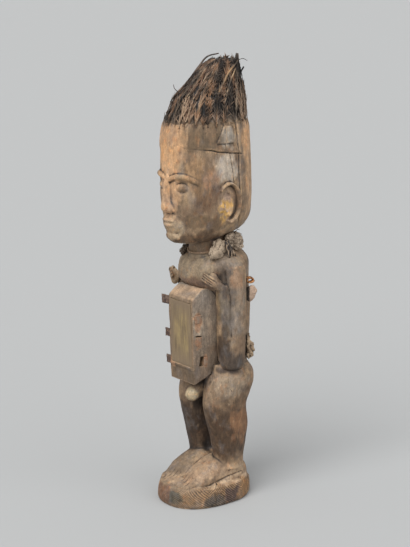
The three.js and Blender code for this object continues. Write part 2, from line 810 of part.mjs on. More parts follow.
const figure = new THREE.Group();
figure.add(meshOf("carved_figure", carvedFigure(), wood));
figure.add(meshOf("belly_box", bellyBox(), boxWood));
figure.add(meshOf("box_pane", pane(), dulledGlass));
for (const tab of TABS_OUT) figure.add(meshOf("iron_tab_out_" + tab.name, tabOut(tab), iron));
for (const tab of TABS_FLAT) figure.add(meshOf("iron_tab_flat_" + tab.name, tabFlat(tab), iron));
figure.add(meshOf("neck_cord", cord, fibre));
for (const [name, lumps] of Object.entries(PACKETS)) {
  figure.add(meshOf(name, clearOf(packet(lumps), hung), crustedCloth));
}
const leftPackets = [packet(PACKETS.neck_packet_left, GAP), packet(PACKETS.neck_packet_back_left, GAP)];
figure.add(meshOf("neck_quills", clearOf(neckQuills(), hung, ...leftPackets), quill));
figure.add(meshOf("back_ring", clearOf(backRing(), torso(CLEAR)), copper));
for (const [name, bundle] of [["upper", backPacketUpper()], ["lower", backPacketLower()]]) {
  figure.add(meshOf("back_packet_" + name, clearOf(bundle, torso(CLEAR)), crustedCloth));
}
figure.add(meshOf("feather_crest", featherCrest(), vane));

export default figure;
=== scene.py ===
"""A carved power figure with its belly box, neck packets, back pendants and feather crest.

The figure faces -Y and its left side is +X. Forms are worked out in the millimetres of the carver's
sizes, and each finished mesh is brought to metres, in its place, before it is dressed.
"""

import itertools
from math import atan2, cos, pi, radians, sin, tan

import bmesh
import bpy
import numpy as np
from mathutils import Euler, Matrix, Vector


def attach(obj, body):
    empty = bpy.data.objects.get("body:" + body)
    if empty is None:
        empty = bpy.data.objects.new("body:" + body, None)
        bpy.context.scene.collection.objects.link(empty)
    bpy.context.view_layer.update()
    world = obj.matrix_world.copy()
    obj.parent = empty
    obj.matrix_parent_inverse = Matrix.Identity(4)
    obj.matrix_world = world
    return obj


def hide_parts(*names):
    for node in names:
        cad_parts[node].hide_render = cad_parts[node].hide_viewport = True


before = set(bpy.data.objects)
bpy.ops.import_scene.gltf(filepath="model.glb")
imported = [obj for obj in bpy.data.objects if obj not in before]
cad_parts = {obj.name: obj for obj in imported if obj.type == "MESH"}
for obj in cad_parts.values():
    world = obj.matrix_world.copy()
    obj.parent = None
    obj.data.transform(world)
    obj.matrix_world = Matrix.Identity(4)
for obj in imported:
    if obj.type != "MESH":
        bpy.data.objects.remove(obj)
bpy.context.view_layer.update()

# Camera. It stands in front of the figure's left side and a little above its crown, looking slightly down,
# so that the front of the box, the left arm and the left side of the head all show.
CAMERA_TURN = radians(52)
CAMERA_AWAY = 2.78
CAMERA_HEIGHT = 1.112
CAMERA_DOWN = radians(13.1)
PICTURE_HEIGHT = 547
FOCAL_PIXELS = 1438
SENSOR = 36
FIGURE_LEFT_OF_MIDDLE = 1


def in_scene(name, data):
    """A new object in the scene."""
    made = bpy.data.objects.new(name, data)
    bpy.context.scene.collection.objects.link(made)
    return made


into_picture = Vector((-sin(CAMERA_TURN), cos(CAMERA_TURN), 0))
looking = into_picture * cos(CAMERA_DOWN) - Vector((0, 0, sin(CAMERA_DOWN)))
lens = bpy.data.cameras.new("camera")
lens.sensor_width = SENSOR
lens.lens = FOCAL_PIXELS / PICTURE_HEIGHT * SENSOR
lens.shift_x = FIGURE_LEFT_OF_MIDDLE / PICTURE_HEIGHT
lens.clip_end = 200
camera = in_scene("camera", lens)
camera.location = -into_picture * CAMERA_AWAY + Vector((0, 0, CAMERA_HEIGHT))
camera.rotation_euler = looking.to_track_quat("-Z", "Y").to_euler()
bpy.context.scene.camera = camera
bpy.context.scene.view_settings.view_transform = "Standard"

# Carved figure. Plinth, legs, body, arms and head are cut from one log with adze and knife, so they are one
# mesh: every form is a skin over a stack of rings, a remesh makes one surface of them, and the tool marks,
# grooves, checks and worn spots are then cut into that surface.
MM = 0.001
LEFT = 1
RIGHT = -1
SIDES = (LEFT, RIGHT)

PLINTH_TOP = 39
ANKLE = 92
KNEE = 216
SEAT = 246
ELBOW = 280
CHEST = 466
SHOULDER = 509
CHIN = 536
CROWN = 776

PLINTH_HALF_WIDTH = 76
PLINTH_HALF_LENGTH = 97
PLINTH_SQUARE = 2.35
LEG_APART = 39
FOOT_APART = 27
TOES = 5
BODY_BACK = 24
ARM_APART = 66
FOREARM_APART = 63
HAND_HEIGHT = {LEFT: 463, RIGHT: 456}
HAND_OUT = {LEFT: 0, RIGHT: 7}
HEAD_HALF_WIDTH = 69
FACE_REACH = 90
NAPE_REACH = 95

HAIRLINE = 730
THIRD = (HAIRLINE - CHIN) / 3
BROW = HAIRLINE - THIRD
NOSE_BASE = BROW - THIRD
MOUTH = NOSE_BASE - THIRD / 3
EYE = BROW - THIRD / 4


def run_through(rows, shares):
    """Values read smoothly along a list of rows, at shares from 0 to 1."""
    rows = np.asarray(rows, float)
    padded = np.vstack([2 * rows[0] - rows[1], rows, 2 * rows[-1] - rows[-2]])
    place = np.clip(shares, 0, 1) * (len(rows) - 1)
    first = np.minimum(place.astype(int), len(rows) - 2)
    step = (place - first)[:, None]
    before, here, there, after = (padded[first + k] for k in range(4))
    curve = 3 * (here - there) + after - before
    bend = 2 * before - 5 * here + 4 * there - after + step * curve
    return here + step / 2 * (there - before + step * bend)


def ring(x, y, z, half, front=None, back=None, square=2.0):
    """One ring of a skin: its middle, half width, reach to the front and back, and how square it is."""
    front = half if front is None else front
    return (x, y, z, half, front, front if back is None else back, square)


def along_rings(turn, shares, rings, across=(1, 0, 0), stack=(0, 0, 1), follow=False, swell=0):
    """The points of a skin over rings, at turns round it and shares along it."""
    read = run_through(rings, shares)
    middle, half, front, back, square = read[:, :3], read[:, 3], read[:, 4], read[:, 5], read[:, 6]
    if follow:
        ahead = run_through(rings, np.minimum(shares + 1e-3, 1))[:, :3]
        behind = run_through(rings, np.maximum(shares - 1e-3, 0))[:, :3]
        up = (ahead - behind) / np.linalg.norm(ahead - behind, axis=1)[:, None]
    else:
        up = np.tile(np.asarray(stack, float), (len(shares), 1))
    side = np.asarray(across, float) - up * (up @ np.asarray(across, float))[:, None]
    side /= np.linalg.norm(side, axis=1)[:, None]
    deep = np.cross(up, side)
    cosine, sine = np.cos(turn), np.sin(turn)
    u = np.sign(cosine) * np.abs(cosine) ** (2 / square) * (half + swell)
    v = np.sign(sine) * np.abs(sine) ** (2 / square) * (np.where(sine < 0, front, back) + swell)
    return middle + side * u[:, None] + deep * v[:, None]


def skin(rings, sides=32, rows=32, **laid):
    """A closed form over a stack of rings, from a cylinder whose rows are moved on to them."""
    form = bmesh.new()
    bmesh.ops.create_cone(form, cap_ends=True, segments=sides, radius1=1, radius2=1, depth=1)
    upright = [e for e in form.edges if abs(e.verts[0].co.z - e.verts[1].co.z) > 0.5]
    bmesh.ops.subdivide_edges(form, edges=upright, cuts=rows - 1, use_grid_fill=True)
    unit = np.array([v.co for v in form.verts])
    turn = np.arctan2(unit[:, 1], unit[:, 0])
    placed = along_rings(turn, unit[:, 2] + 0.5, rings, **laid)
    for vert, place in zip(form.verts, placed):
        vert.co = place
    return form


def set_down(form, middle, sizes, turn):
    """A form stretched, turned and moved to its place."""
    place = Matrix.LocRotScale(Vector(middle), Euler(turn), Vector(sizes))
    bmesh.ops.transform(form, matrix=place, verts=form.verts)
    return form


def pebble(middle, halves, turn=(0, 0, 0)):
    """A rounded lump of three half sizes."""
    form = bmesh.new()
    bmesh.ops.create_uvsphere(form, u_segments=28, v_segments=14, radius=1)
    return set_down(form, middle, halves, turn)


def block(middle, sizes, turn=(0, 0, 0)):
    """A plain block of three full sizes."""
    form = bmesh.new()
    bmesh.ops.create_cube(form, size=1)
    return set_down(form, middle, sizes, turn)


def mesh_of(forms):
    """One mesh of several forms, which are used up."""
    whole = bpy.data.meshes.new("bench")
    gathered = bmesh.new()
    for form in forms:
        part = bpy.data.meshes.new("part")
        form.to_mesh(part)
        form.free()
        gathered.from_mesh(part)
        bpy.data.meshes.remove(part)
    bmesh.ops.recalc_face_normals(gathered, faces=gathered.faces)
    gathered.to_mesh(whole)
    gathered.free()
    return whole


def worked(mesh, kind, **settings):
    """The mesh after one modifier."""
    bench = in_scene("bench", mesh)
    tool = bench.modifiers.new(kind, kind)
    for name, value in settings.items():
        setattr(tool, name, value)
    graph = bpy.context.evaluated_depsgraph_get()
    made = bpy.data.meshes.new_from_object(bench.evaluated_get(graph), depsgraph=graph)
    bpy.data.objects.remove(bench)
    return made


def cut(form, *cutters):
    """A form with others cut away from it, as a form again."""
    mesh = mesh_of([form])
    for cutter in cutters:
        knife = in_scene("knife", mesh_of([cutter]))
        mesh = worked(mesh, "BOOLEAN", operation="DIFFERENCE", solver="EXACT", object=knife)
        bpy.data.objects.remove(knife)
    left = bmesh.new()
    left.from_mesh(mesh)
    return left


def listed(items, what, width, kind=float):
    """One property of a mesh's vertices or edges, a row for each."""
    found = np.empty(len(items) * width, kind)
    items.foreach_get(what, found)
    return found.reshape(-1, width)


def places_of(mesh):
    return listed(mesh.vertices, "co", 3)


def normals_of(mesh):
    return listed(mesh.vertex_normals, "vector", 3)


def edges_of(mesh):
    return listed(mesh.edges, "vertices", 2, np.int64)


def move_to(mesh, places):
    mesh.vertices.foreach_set("co", np.asarray(places, np.float32).ravel())
    mesh.update()


def relaxed(values, edges, rounds, strength=0.5):
    """Values on the vertices, each drawn towards its neighbours' mean a number of times."""
    one, other = edges[:, 0], edges[:, 1]
    count = np.bincount(edges.ravel(), minlength=len(values))[:, None]
    values = values.copy() if values.ndim > 1 else values[:, None].copy()
    for _ in range(rounds):
        total = np.empty_like(values)
        for k in range(values.shape[1]):
            column = values[:, k]
            total[:, k] = np.bincount(one, column[other], len(values))
            total[:, k] += np.bincount(other, column[one], len(values))
        values += strength * (total / np.maximum(count, 1) - values)
    return values if values.shape[1] > 1 else values[:, 0]


def scatter(cells, seed):
    """A number from 0 to 1 for each whole-numbered cell, the same on each run."""
    mixed = cells[..., 0] * 73856093 ^ cells[..., 1] * 19349663 ^ cells[..., 2] * 83492791
    mixed = (mixed + seed * 2654435) & 0x7FFFFFFF
    mixed = ((mixed >> 13) ^ mixed) * 60493 & 0x7FFFFFFF
    mixed = ((mixed >> 11) ^ mixed) * 19990303 & 0x7FFFFFFF
    return (mixed & 0xFFFFF) / 0xFFFFF


def drift(places, size, seed=0):
    """Smooth noise from -1 to 1 over the places, with lumps of about the given size."""
    scaled = places / np.asarray(size, float)
    cells = np.floor(scaled).astype(np.int64)
    part = scaled - cells
    part = part * part * (3 - 2 * part)
    total = np.zeros(len(places))
    for corner in itertools.product((0, 1), repeat=3):
        weight = np.prod(np.where(corner, part, 1 - part), axis=1)
        total += weight * (scatter(cells + corner, seed) * 2 - 1)
    return total


def facets(places, size, seed=0):
    """How far each place is from the middle of its tool cut, in cut sizes, and the cut's number."""
    scaled = places / np.asarray(size, float)
    cells = np.floor(scaled).astype(np.int64)
    nearest = np.full(len(places), 9.0)
    number = np.zeros(len(places))
    for step in itertools.product((-1, 0, 1), repeat=3):
        there = cells + step
        middle = there + np.stack([scatter(there, seed + k) for k in (11, 23, 37)], axis=1)
        away = np.linalg.norm(scaled - middle, axis=1)
        closer = away < nearest
        nearest[closer] = away[closer]
        number[closer] = scatter(there, seed + 51)[closer]
    return nearest, number


def ease(values, low, high):
    """0 below low, 1 above high and a smooth slope between. The two may be given the other way round."""
    share = np.clip((values - low) / (high - low), 0, 1)
    return share * share * (3 - 2 * share)


def band(values, rises, full, stays, gone):
    """1 between full and stays, with a smooth slope before and after."""
    return ease(values, rises, full) * ease(values, gone, stays)


def plinth():
    half, length = PLINTH_HALF_WIDTH, PLINTH_HALF_LENGTH
    rows = (
        (0, half - 4, length - 2, length - 2),
        (9, half, length, length),
        (30, half - 1, length - 2, length),
        (PLINTH_TOP - 1, half - 5, length - 7, length - 5),
        (PLINTH_TOP + 6, half - 13, length - 18, length - 14),
        (PLINTH_TOP + 11, half - 24, length - 34, length - 26),
    )
    return skin([ring(0, 0, *row, PLINTH_SQUARE) for row in rows], sides=96, rows=30)


SOLE = PLINTH_TOP - 6
SOLE_SUNK = PLINTH_TOP - 20
# The foot's rings from toe to heel: how far back, half width and height over the sole
FOOT_ROWS = (
    (-74, 22, 5),
    (-70, 27, 10),
    (-58, 32, 19),
    (-40, 34, 34),
    (-18, 34, 48),
    (6, 33, 58),
    (36, 33, 58),
    (63, 31, 44),
    (72, 22, 30),
)
TOE_SPREAD = 54
TOE_CUT_SIZES = (2.2, 24, 13)
TOE_CUT_FRONT = -71
TOE_CUT_UP = 17
TOE_CUT_SLOPE = radians(33)


def toe_lane(side, number):
    """How far out the cut beside a toe lies."""
    return side * (FOOT_APART + TOE_SPREAD * (number / TOES - 0.5))


def foot(side):
    rings = []
    for y, half, up in FOOT_ROWS:
        reach = (SOLE + up - SOLE_SUNK) / 2
        rings.append(ring(side * FOOT_APART, y, (SOLE + up + SOLE_SUNK) / 2, half, reach, reach, 2.9))
    cuts = []
    for number in range(1, TOES):
        middle = (toe_lane(side, number), TOE_CUT_FRONT, SOLE + TOE_CUT_UP)
        cuts.append(block(middle, TOE_CUT_SIZES, (TOE_CUT_SLOPE, 0, 0)))
    return cut(skin(rings, sides=48, rows=50, stack=(0, 1, 0)), *cuts)


def leg(side):
    rows = (
        (PLINTH_TOP + 28, 40, 31, 27, 31, 31),
        (ANKLE, 40, 31, 27, 32, 32),
        (ANKLE + 33, 41, 29, 30, 36, 39),
        (ANKLE + 65, 40, 28, 33, 43, 45),
        (KNEE - 30, 39, 25, 34, 48, 45),
        (KNEE - 12, 39, 24, 35, 50, 46),
        (KNEE + 10, 39, 26, 37, 50, 55),
        (SEAT, LEG_APART, 29, 38, 49, 59),
        (SEAT + 22, LEG_APART, 29, 38, 43, 57),
        (SEAT + 42, 32, 27, 34, 38, 48),
    )
    return skin([ring(side * apart, y, z, *reach, 2.2) for z, apart, y, *reach in rows], sides=56, rows=70)


def torso():
    def level(z, half, front, back, square=2.9):
        return ring(0, BODY_BACK, z, half, front, back, square)

    rings = [
        level(SEAT - 6, 50, 18, 40),
        level(SEAT + 12, 66, 25, 54),
        level(ELBOW + 4, 66, 25, 56),
        level(340, 65, 26, 63),
        level(400, 66, 26, 65),
        level(430, 66, 33, 65.5, 2.6),
        level(CHEST - 15, 66, 62, 66, 2.4),
        level(CHEST + 8, 66, 67, 66.5, 2.4),
        level(SHOULDER - 16, 66, 59, 64, 2.5),
        level(SHOULDER - 4, 60, 47, 58, 2.4),
        level(SHOULDER + 3, 50, 36, 52, 2.2),
        level(SHOULDER + 12, 38, 26, 47, 2.1),
        level(SHOULDER + 18, 30, 18, 38, 2),
    ]
    return skin(rings, sides=80, rows=90)


def arm(side):
    def level(z, apart, y, half, deep):
        return ring(side * apart, y, z, half, deep, deep, 2.3)

    upper = [
        level(ELBOW + 6, ARM_APART, 25, 17, 19),
        level(ELBOW + 40, ARM_APART, 27, 20, 20),
        level(380, ARM_APART, 27, 20, 20),
        level(CHEST - 10, ARM_APART, 26, 20, 21),
        level(SHOULDER - 20, ARM_APART - 3, 25, 20, 25),
        level(SHOULDER - 7, ARM_APART - 11, 24, 16, 23),
        level(SHOULDER - 1, ARM_APART - 18, 24, 9, 13),
    ]
    elbow = [
        level(ELBOW - 1, FOREARM_APART, 24, 10, 16),
        level(ELBOW + 5, FOREARM_APART, 23, 18, 24),
        level(ELBOW + 18, FOREARM_APART, 22, 21, 27),
        level(ELBOW + 48, FOREARM_APART, 21, 21, 26),
        level(ELBOW + 70, FOREARM_APART, 20, 16, 20),
    ]
    forearm = [
        level(ELBOW + 16, FOREARM_APART - 3, 8, 17, 13),
        level(ELBOW + 62, FOREARM_APART - 4, 6, 17, 13),
        level(CHEST - 42, FOREARM_APART - 2, 0, 15, 12),
        level(CHEST - 12, FOREARM_APART + 3, -7, 11, 10),
    ]
    return [
        skin(upper, sides=40, rows=60),
        skin(elbow, sides=40, rows=30),
        skin(forearm, sides=32, rows=40),
        *hand(side),
    ]


FINGERS = (-1.5, -0.5, 0.5, 1.5)
FINGER_APART = 5.4


def hand(side):
    def at(x, y, up, *reach):
        out = HAND_OUT[side]
        return ring(side * (x + out), y - out / 2, HAND_HEIGHT[side] + up, *reach)

    palm = [at(69, -8, -15, 9, 8), at(65, -17, -7, 11, 8), at(58, -25, 1, 11, 6), at(51, -31, 7, 8, 4)]
    thumb = [at(67, -9, -2, 5), at(62, -20, 11, 5), at(55, -28, 17, 3)]
    spread = Vector((side * 0.5, 0, 1)).normalized() * FINGER_APART
    forms = [
        skin(palm, sides=24, rows=24, across=(side * 0.5, 0, 1), follow=True),
        skin(thumb, sides=16, rows=16, follow=True),
    ]
    if side == RIGHT:
        forms.append(pebble((side * 62, -25, HAND_HEIGHT[side] - 4), (9, 10, 17)))
    for lane in FINGERS:
        reach = 3 - 0.8 * abs(lane)
        off = spread * lane
        finger = [
            at(62 + side * off.x, -26, -2 + off.z, 2.6),
            at(53 + side * off.x, -34, 5 + off.z, 2.8),
            at(45 - reach + side * off.x, -39.5, 11 + off.z, 2.2),
        ]
        forms.append(skin(finger, sides=12, rows=12, follow=True))
    return forms


def loin_boss():
    rows = ((-41, 213, 5), (-37, 216, 12), (-27, 222, 16), (-10, 234, 17.5), (8, 246, 17))
    return skin([ring(0, *row) for row in rows], sides=24, rows=24, follow=True)


def neck():
    rows = (
        (16, SHOULDER - 16, 42, 46),
        (13, SHOULDER + 4, 37, 41),
        (10, CHIN + 4, 36, 40),
        (6, CHIN + 44, 40, 46),
    )
    return skin([ring(0, *row, square=2.2) for row in rows], sides=48, rows=24)


HEAD_RINGS = [
    ring(0, -44, CHIN, 24, 28, 28, 2.3),
    ring(0, -28, CHIN + 7, 40, 50, 56, 2.3),
    ring(0, -8, CHIN + 22, 54, 72, 88, 2.3),
    ring(0, 2, CHIN + 44, 63, 84, 93, 2.35),
    ring(0, 2, CHIN + 74, 68, 88, NAPE_REACH, 2.4),
    ring(0, 2, CHIN + 110, HEAD_HALF_WIDTH, FACE_REACH, NAPE_REACH, 2.4),
    ring(0, 2, CHIN + 150, HEAD_HALF_WIDTH, FACE_REACH, NAPE_REACH - 1, 2.4),
    ring(0, 2, HAIRLINE - 6, 68, FACE_REACH, NAPE_REACH - 3, 2.4),
    ring(0, 2, CROWN - 22, 66, 86, NAPE_REACH - 5, 2.4),
    ring(0, 2, CROWN - 7, 62, 81, NAPE_REACH - 8, 2.4),
    ring(0, 2, CROWN, 56, 74, NAPE_REACH - 14, 2.4),
]


def on_head(side, degrees, z, out=0):
    """The point of the head's skin at a turn from the face's midline and a height."""
    shares = np.linspace(0, 1, 400)
    share = np.interp(z, run_through(HEAD_RINGS, shares)[:, 2], shares)
    turn = np.array([radians(degrees) - pi / 2])
    x, y, _ = along_rings(turn, np.array([share]), HEAD_RINGS, swell=out)[0]
    return side * x, y, z


EAR_Y = 6
EAR_Z = 616
EAR_HALF_WIDTH = 25
EAR_HALF_HEIGHT = 38


def ear(side):
    rim = []
    for turn in range(140, -86, -15):
        y = EAR_Y + EAR_HALF_WIDTH * cos(radians(turn))
        z = EAR_Z + EAR_HALF_HEIGHT * sin(radians(turn))
        lift = 69 + 3 * cos(radians(turn - 20))
        thick = 3.4 * min(1, 0.45 + (140 - turn) / 60)
        rim.append(ring(side * lift, y, z, 7.5, thick, thick))
    fold = []
    for turn in range(100, -76, -25):
        y = EAR_Y - 2 + 12 * cos(radians(turn))
        z = EAR_Z - 2 + 24 * sin(radians(turn))
        fold.append(ring(side * 67, y, z, 6, 2.8, 2.8))
    return [
        skin(rim, sides=20, rows=60, across=(side, 0, 0), follow=True),
        skin(fold, sides=14, rows=40, across=(side, 0, 0), follow=True),
        pebble((side * 66, EAR_Y - 13, EAR_Z - 8), (7, 5, 10)),
    ]


def ear_bowl(side):
    return pebble((side * 77, EAR_Y, EAR_Z), (12, EAR_HALF_WIDTH - 2, EAR_HALF_HEIGHT - 3))


def nose():
    def level(z, half, proud):
        front = -on_head(LEFT, 0, z)[1]
        return ring(0, 10 - front, z, half, proud + 10, 6, 1.9)

    rings = [
        level(NOSE_BASE - 3, 11, 8),
        level(NOSE_BASE + 2, 15, 15),
        level(NOSE_BASE + 10, 14, 18),
        level(NOSE_BASE + 22, 10, 16),
        level(BROW - 20, 8.5, 12),
        level(BROW - 4, 9, 8),
        level(BROW + 12, 12, 2),
    ]
    return skin(rings, sides=28, rows=48)


# The brow from the nose outwards: degrees round the head, height, how far out, and half thickness
BROW_LINE = ((3, -2, -1, 5), (14, 4, 0, 6), (30, 5, 0, 6), (46, -2, -1, 5), (58, -12, -3, 3))


def brow(side):
    rings = [ring(*on_head(side, turn, BROW + up, out), half) for turn, up, out, half in BROW_LINE]
    return skin(rings, sides=16, rows=40, across=(0, 0, 1), follow=True)


EYE_TURN = 25


def eye(side, out, halves):
    """A lump laid on the eye's place, turned with the face."""
    turn = (radians(-4), 0, side * radians(EYE_TURN + 2))
    return pebble(on_head(side, EYE_TURN, EYE, out), halves, turn)


def mouth():
    front = on_head(LEFT, 0, MOUTH)[1]
    chin_front = on_head(LEFT, 0, CHIN + 18)[1]
    return [
        pebble((0, front + 5, MOUTH), (28, 13, 24)),
        pebble((0, front - 5, MOUTH + 4.2), (19, 7, 4.4), (radians(-12), 0, 0)),
        pebble((0, front - 4, MOUTH - 4.6), (16, 7, 4.8), (radians(12), 0, 0)),
        pebble((0, chin_front + 9, CHIN + 15), (24, 15, 13)),
    ]


# The box's half width, and its outline seen from the side
BOX_HALF_WIDTH = 39
BOX_FRONT = -60
BOX_BACK = 4
BOX_BOTTOM = 251
BOX_RIDGE = 283
BOX_BACK_BOTTOM = 275
BOX_FRONT_TOP = 426
BOX_BACK_TOP = 446
BOX_LEANS_BACK = 4
BOX_TUCK = 6
BOX_SLOPE = 26
BOX_EDGE = 3
box_lean = atan2(BOX_LEANS_BACK, BOX_FRONT_TOP - BOX_BOTTOM)


def box_front_at(z):
    return BOX_FRONT + (BOX_FRONT_TOP - z) * tan(box_lean)


def box_outline(swell=0):
    """The box seen from its side, as a thick plate with sharp edges."""
    corners = [
        (box_front_at(BOX_RIDGE) - swell, BOX_RIDGE),
        (BOX_FRONT + BOX_TUCK - swell, BOX_BOTTOM - swell),
        (BOX_BACK + BOX_EDGE + swell, BOX_BACK_BOTTOM - swell),
        (BOX_BACK + BOX_EDGE + swell, BOX_BACK_TOP + swell),
        (BOX_FRONT + BOX_SLOPE, BOX_BACK_TOP + swell),
        (BOX_FRONT - swell, BOX_FRONT_TOP + swell),
    ]
    form = bmesh.new()
    half = BOX_HALF_WIDTH + swell
    side = form.faces.new([form.verts.new((-half, y, z)) for y, z in corners])
    pushed = bmesh.ops.extrude_face_region(form, geom=[side])["geom"]
    moved = [v for v in pushed if isinstance(v, bmesh.types.BMVert)]
    bmesh.ops.translate(form, vec=(2 * half, 0, 0), verts=moved)
    bmesh.ops.recalc_face_normals(form, faces=form.faces)
    return form


HOLE_ROOM = 0.6
EYE_HOLLOW = (20, 8, 13)
EYEBALL = (16, 8, 9)
VOXEL = 1.35
SOFTENING = 5


def head_cuts():
    return [ear_bowl(side) for side in SIDES] + [eye(side, 2, EYE_HOLLOW) for side in SIDES]


def remeshed(forms, voxel, rounds):
    """One softened surface over several forms, and its places."""
    mesh = worked(mesh_of(forms), "REMESH", mode="VOXEL", voxel_size=voxel, use_smooth_shade=True)
    places = relaxed(places_of(mesh), edges_of(mesh), rounds)
    move_to(mesh, places)
    return mesh, places


forms = [plinth(), neck()]
forms += [cut(form, box_outline(HOLE_ROOM)) for form in (torso(), loin_boss(), leg(LEFT), leg(RIGHT))]
forms += [form for side in SIDES for form in (foot(side), *arm(side), *ear(side), brow(side))]
forms += [eye(side, -7, EYEBALL) for side in SIDES]
forms += mouth()
forms += [cut(form, *head_cuts()) for form in (skin(HEAD_RINGS, sides=96, rows=110), nose())]
figure_mesh, places = remeshed(forms, VOXEL, SOFTENING)


def along_path(places, path):
    """How far each place is from a path of points."""
    nearest = np.full(len(places), 1e6)
    for start, end in zip(path, path[1:]):
        start, run = np.asarray(start, float), np.subtract(end, start)
        share = np.clip((places - start) @ run / (run @ run), 0, 1)
        nearest = np.minimum(nearest, np.linalg.norm(places - start - share[:, None] * run, axis=1))
    return nearest


def away_from(places, middle, reach):
    """How far each place is from a middle, in half sizes of a spot."""
    return np.linalg.norm((places - np.asarray(middle, float)) / np.asarray(reach, float), axis=1)


def ragged_spot(places, middle, reach, ragged=0.35, seed=0):
    """1 inside an uneven spot of the given middle and half sizes, 0 well outside it."""
    away = away_from(places, middle, reach)
    away += ragged * (drift(places, 15, seed) + 0.6 * drift(places, 6, seed + 1))
    return ease(away, 1.15, 0.7)


def dent(away, width):
    """1 along the middle of a groove or ridge, falling off over its width."""
    return np.exp(-((away / width) ** 2))


def hollows_of(mesh, places, rounds):
    """How deep each place lies below its surroundings: more than 0 in a hollow, less on an edge."""
    return ((relaxed(places, edges_of(mesh), rounds) - places) * normals_of(mesh)).sum(axis=1)


CAP_EDGE_TILT = radians(8.5)
CAP_EDGE_Z = 716
CAP_EDGE_PROUD = 2.4
CAP_EDGE_FADES = 15
TEMPLE_TAB_BOTTOM = 734
TEMPLE_TAB_TOP = 764
TEMPLE_TAB_FRONT = -20
TEMPLE_TAB_BACK = 18
TEMPLE_TAB_SLANT = 17
TEMPLE_TAB_PROUD = 2.6
TEMPLE_EDGE = -10.6
BACK_EDGE = 36
CREASE_DEPTH = 0.9
TOOL_CUT = (12, 12, 24)
TOOL_CUT_DEPTH = 0.75
WIDEST = 82
FARTHEST_FRONT = -101
KNUCKLES = ((66, -23, -5), (58, -31, 2), (50, -37, 8), (42, -42, 13))

# Checks and scored lines: the points each runs through, its half width and its depth
CHECKS = (
    ([(68, 10, 712), (68, 13, 695), (69, 18, 675), (69, 20, 657)], 1.0, 1.8),
    ([(59, -42, 754), (60, -42, 743)], 1.3, 1.6),
    ([(-66, 20, 700), (-68, 16, 668), (-68, 17, 640)], 0.8, 1.2),
    ([(66, -22, 450), (65, -24, 380), (65, -24, 320)], 0.9, 1.4),
    ([(10, 96, 700), (12, 99, 640), (9, 96, 600)], 0.8, 1.4),
    ([(20, 84, 470), (22, 86, 400), (19, 84, 350)], 0.8, 1.2),
    ([(-30, -93, 30), (-31, -97, 14), (-30, -95, 2)], 1.0, 1.6),
    ([(77, 2, 250), (76, 7, 244)], 1.1, 1.3),
    ([(76, 9, 241), (75, 12, 236)], 1.0, 1.1),
    ([(74, 2, 219), (73, 7, 212)], 1.0, 1.2),
    ([(73, -4, 214), (72, 1, 208)], 0.9, 1.0),
    (
        [(47, -66, 45), (58, -52, 45), (60, -35, 45), (60, -16, 48), (60, 7, 51), (60, 29, 54), (58, 50, 56)],
        2.2,
        2.0,
    ),
)
# Soft hollows pared out with the knife: middle, half sizes and depth
HOLLOWS = (
    ((68, -9, 474), (9, 9, 17), 5.0),
    ((-68, -9, 466), (9, 9, 17), 4.0),
    ((79, -6, 420), (6, 5, 46), 1.6),
    ((-79, -6, 416), (6, 5, 46), 1.6),
    ((56, -58, 590), (16, 16, 13), 1.6),
)
# Knocks: middle, reach and depth
KNOCKS = (
    ((72, -18, 20), 13, 2.4),
    ((40, -84, 8), 12, 2.0),
    ((-62, 50, 12), 14, 2.2),
    ((10, 98, 20), 12, 1.8),
    ((-70, -20, 34), 10, 1.6),
    ((55, 60, 14), 12, 1.8),
)


def past_temple(x, y):
    """How far outside the carved edge of the temple a place lies."""
    return 0.785 * np.abs(x) + 0.62 * y - TEMPLE_EDGE


normals = normals_of(figure_mesh)
x, y, z = places.T
above_edge = (z - CAP_EDGE_Z) * cos(CAP_EDGE_TILT) + y * sin(CAP_EDGE_TILT) + 1.3 * drift(places, 16, 13)
lip = ease(above_edge, -0.8, 0.8) * ease(above_edge, CAP_EDGE_FADES, 3) * band(y, -50, -28, 28, 42)
tab_up = (z - TEMPLE_TAB_BOTTOM) / (TEMPLE_TAB_TOP - TEMPLE_TAB_BOTTOM)
on_tab = ease(y - TEMPLE_TAB_FRONT - TEMPLE_TAB_SLANT * tab_up, -0.8, 0.8)
on_tab *= ease(y - TEMPLE_TAB_BACK, 0.8, -0.8)
on_tab *= band(tab_up, -0.1, 0, 0.98, 1.03) * ease(np.abs(x), 40, 50)
relief = np.maximum(lip * CAP_EDGE_PROUD, on_tab * TEMPLE_TAB_PROUD)
scored = dent(above_edge + 1.4, 1.2) * (z > 680) * band(y, -90, -72, 34, 50)
relief -= (0.6 + ease(y, -56, -36)) * scored
on_temple = band(z, 712, 726, 770, 776) * (y < 0)
relief += on_temple * (2.2 * dent(past_temple(x, y), 7) - 0.8 * ease(past_temple(x, y), 4, 16))
past_back = y + 0.06 * (z - 650) - BACK_EDGE
on_head_side = band(z, 566, 580, 768, 775) * ease(np.abs(x), 20, 30)
relief += on_head_side * (1.6 * ease(past_back, -1.2, 1.2) - 2.4 * dent(past_back, 1.6))

hewn = facets(places, TOOL_CUT, 3)[0]
calm = 1 - 0.6 * ease(z, 540, 560) * ease(y, -20, -50)
relief += TOOL_CUT_DEPTH * (hewn**2 - 0.45) * calm * ease(z, 4, 10)
relief += 0.5 * drift(places, (9, 9, 60), 5) + 0.17 * drift(places, (3.2, 3.2, 34), 6)
relief += 0.8 * drift(places, 42, 7)


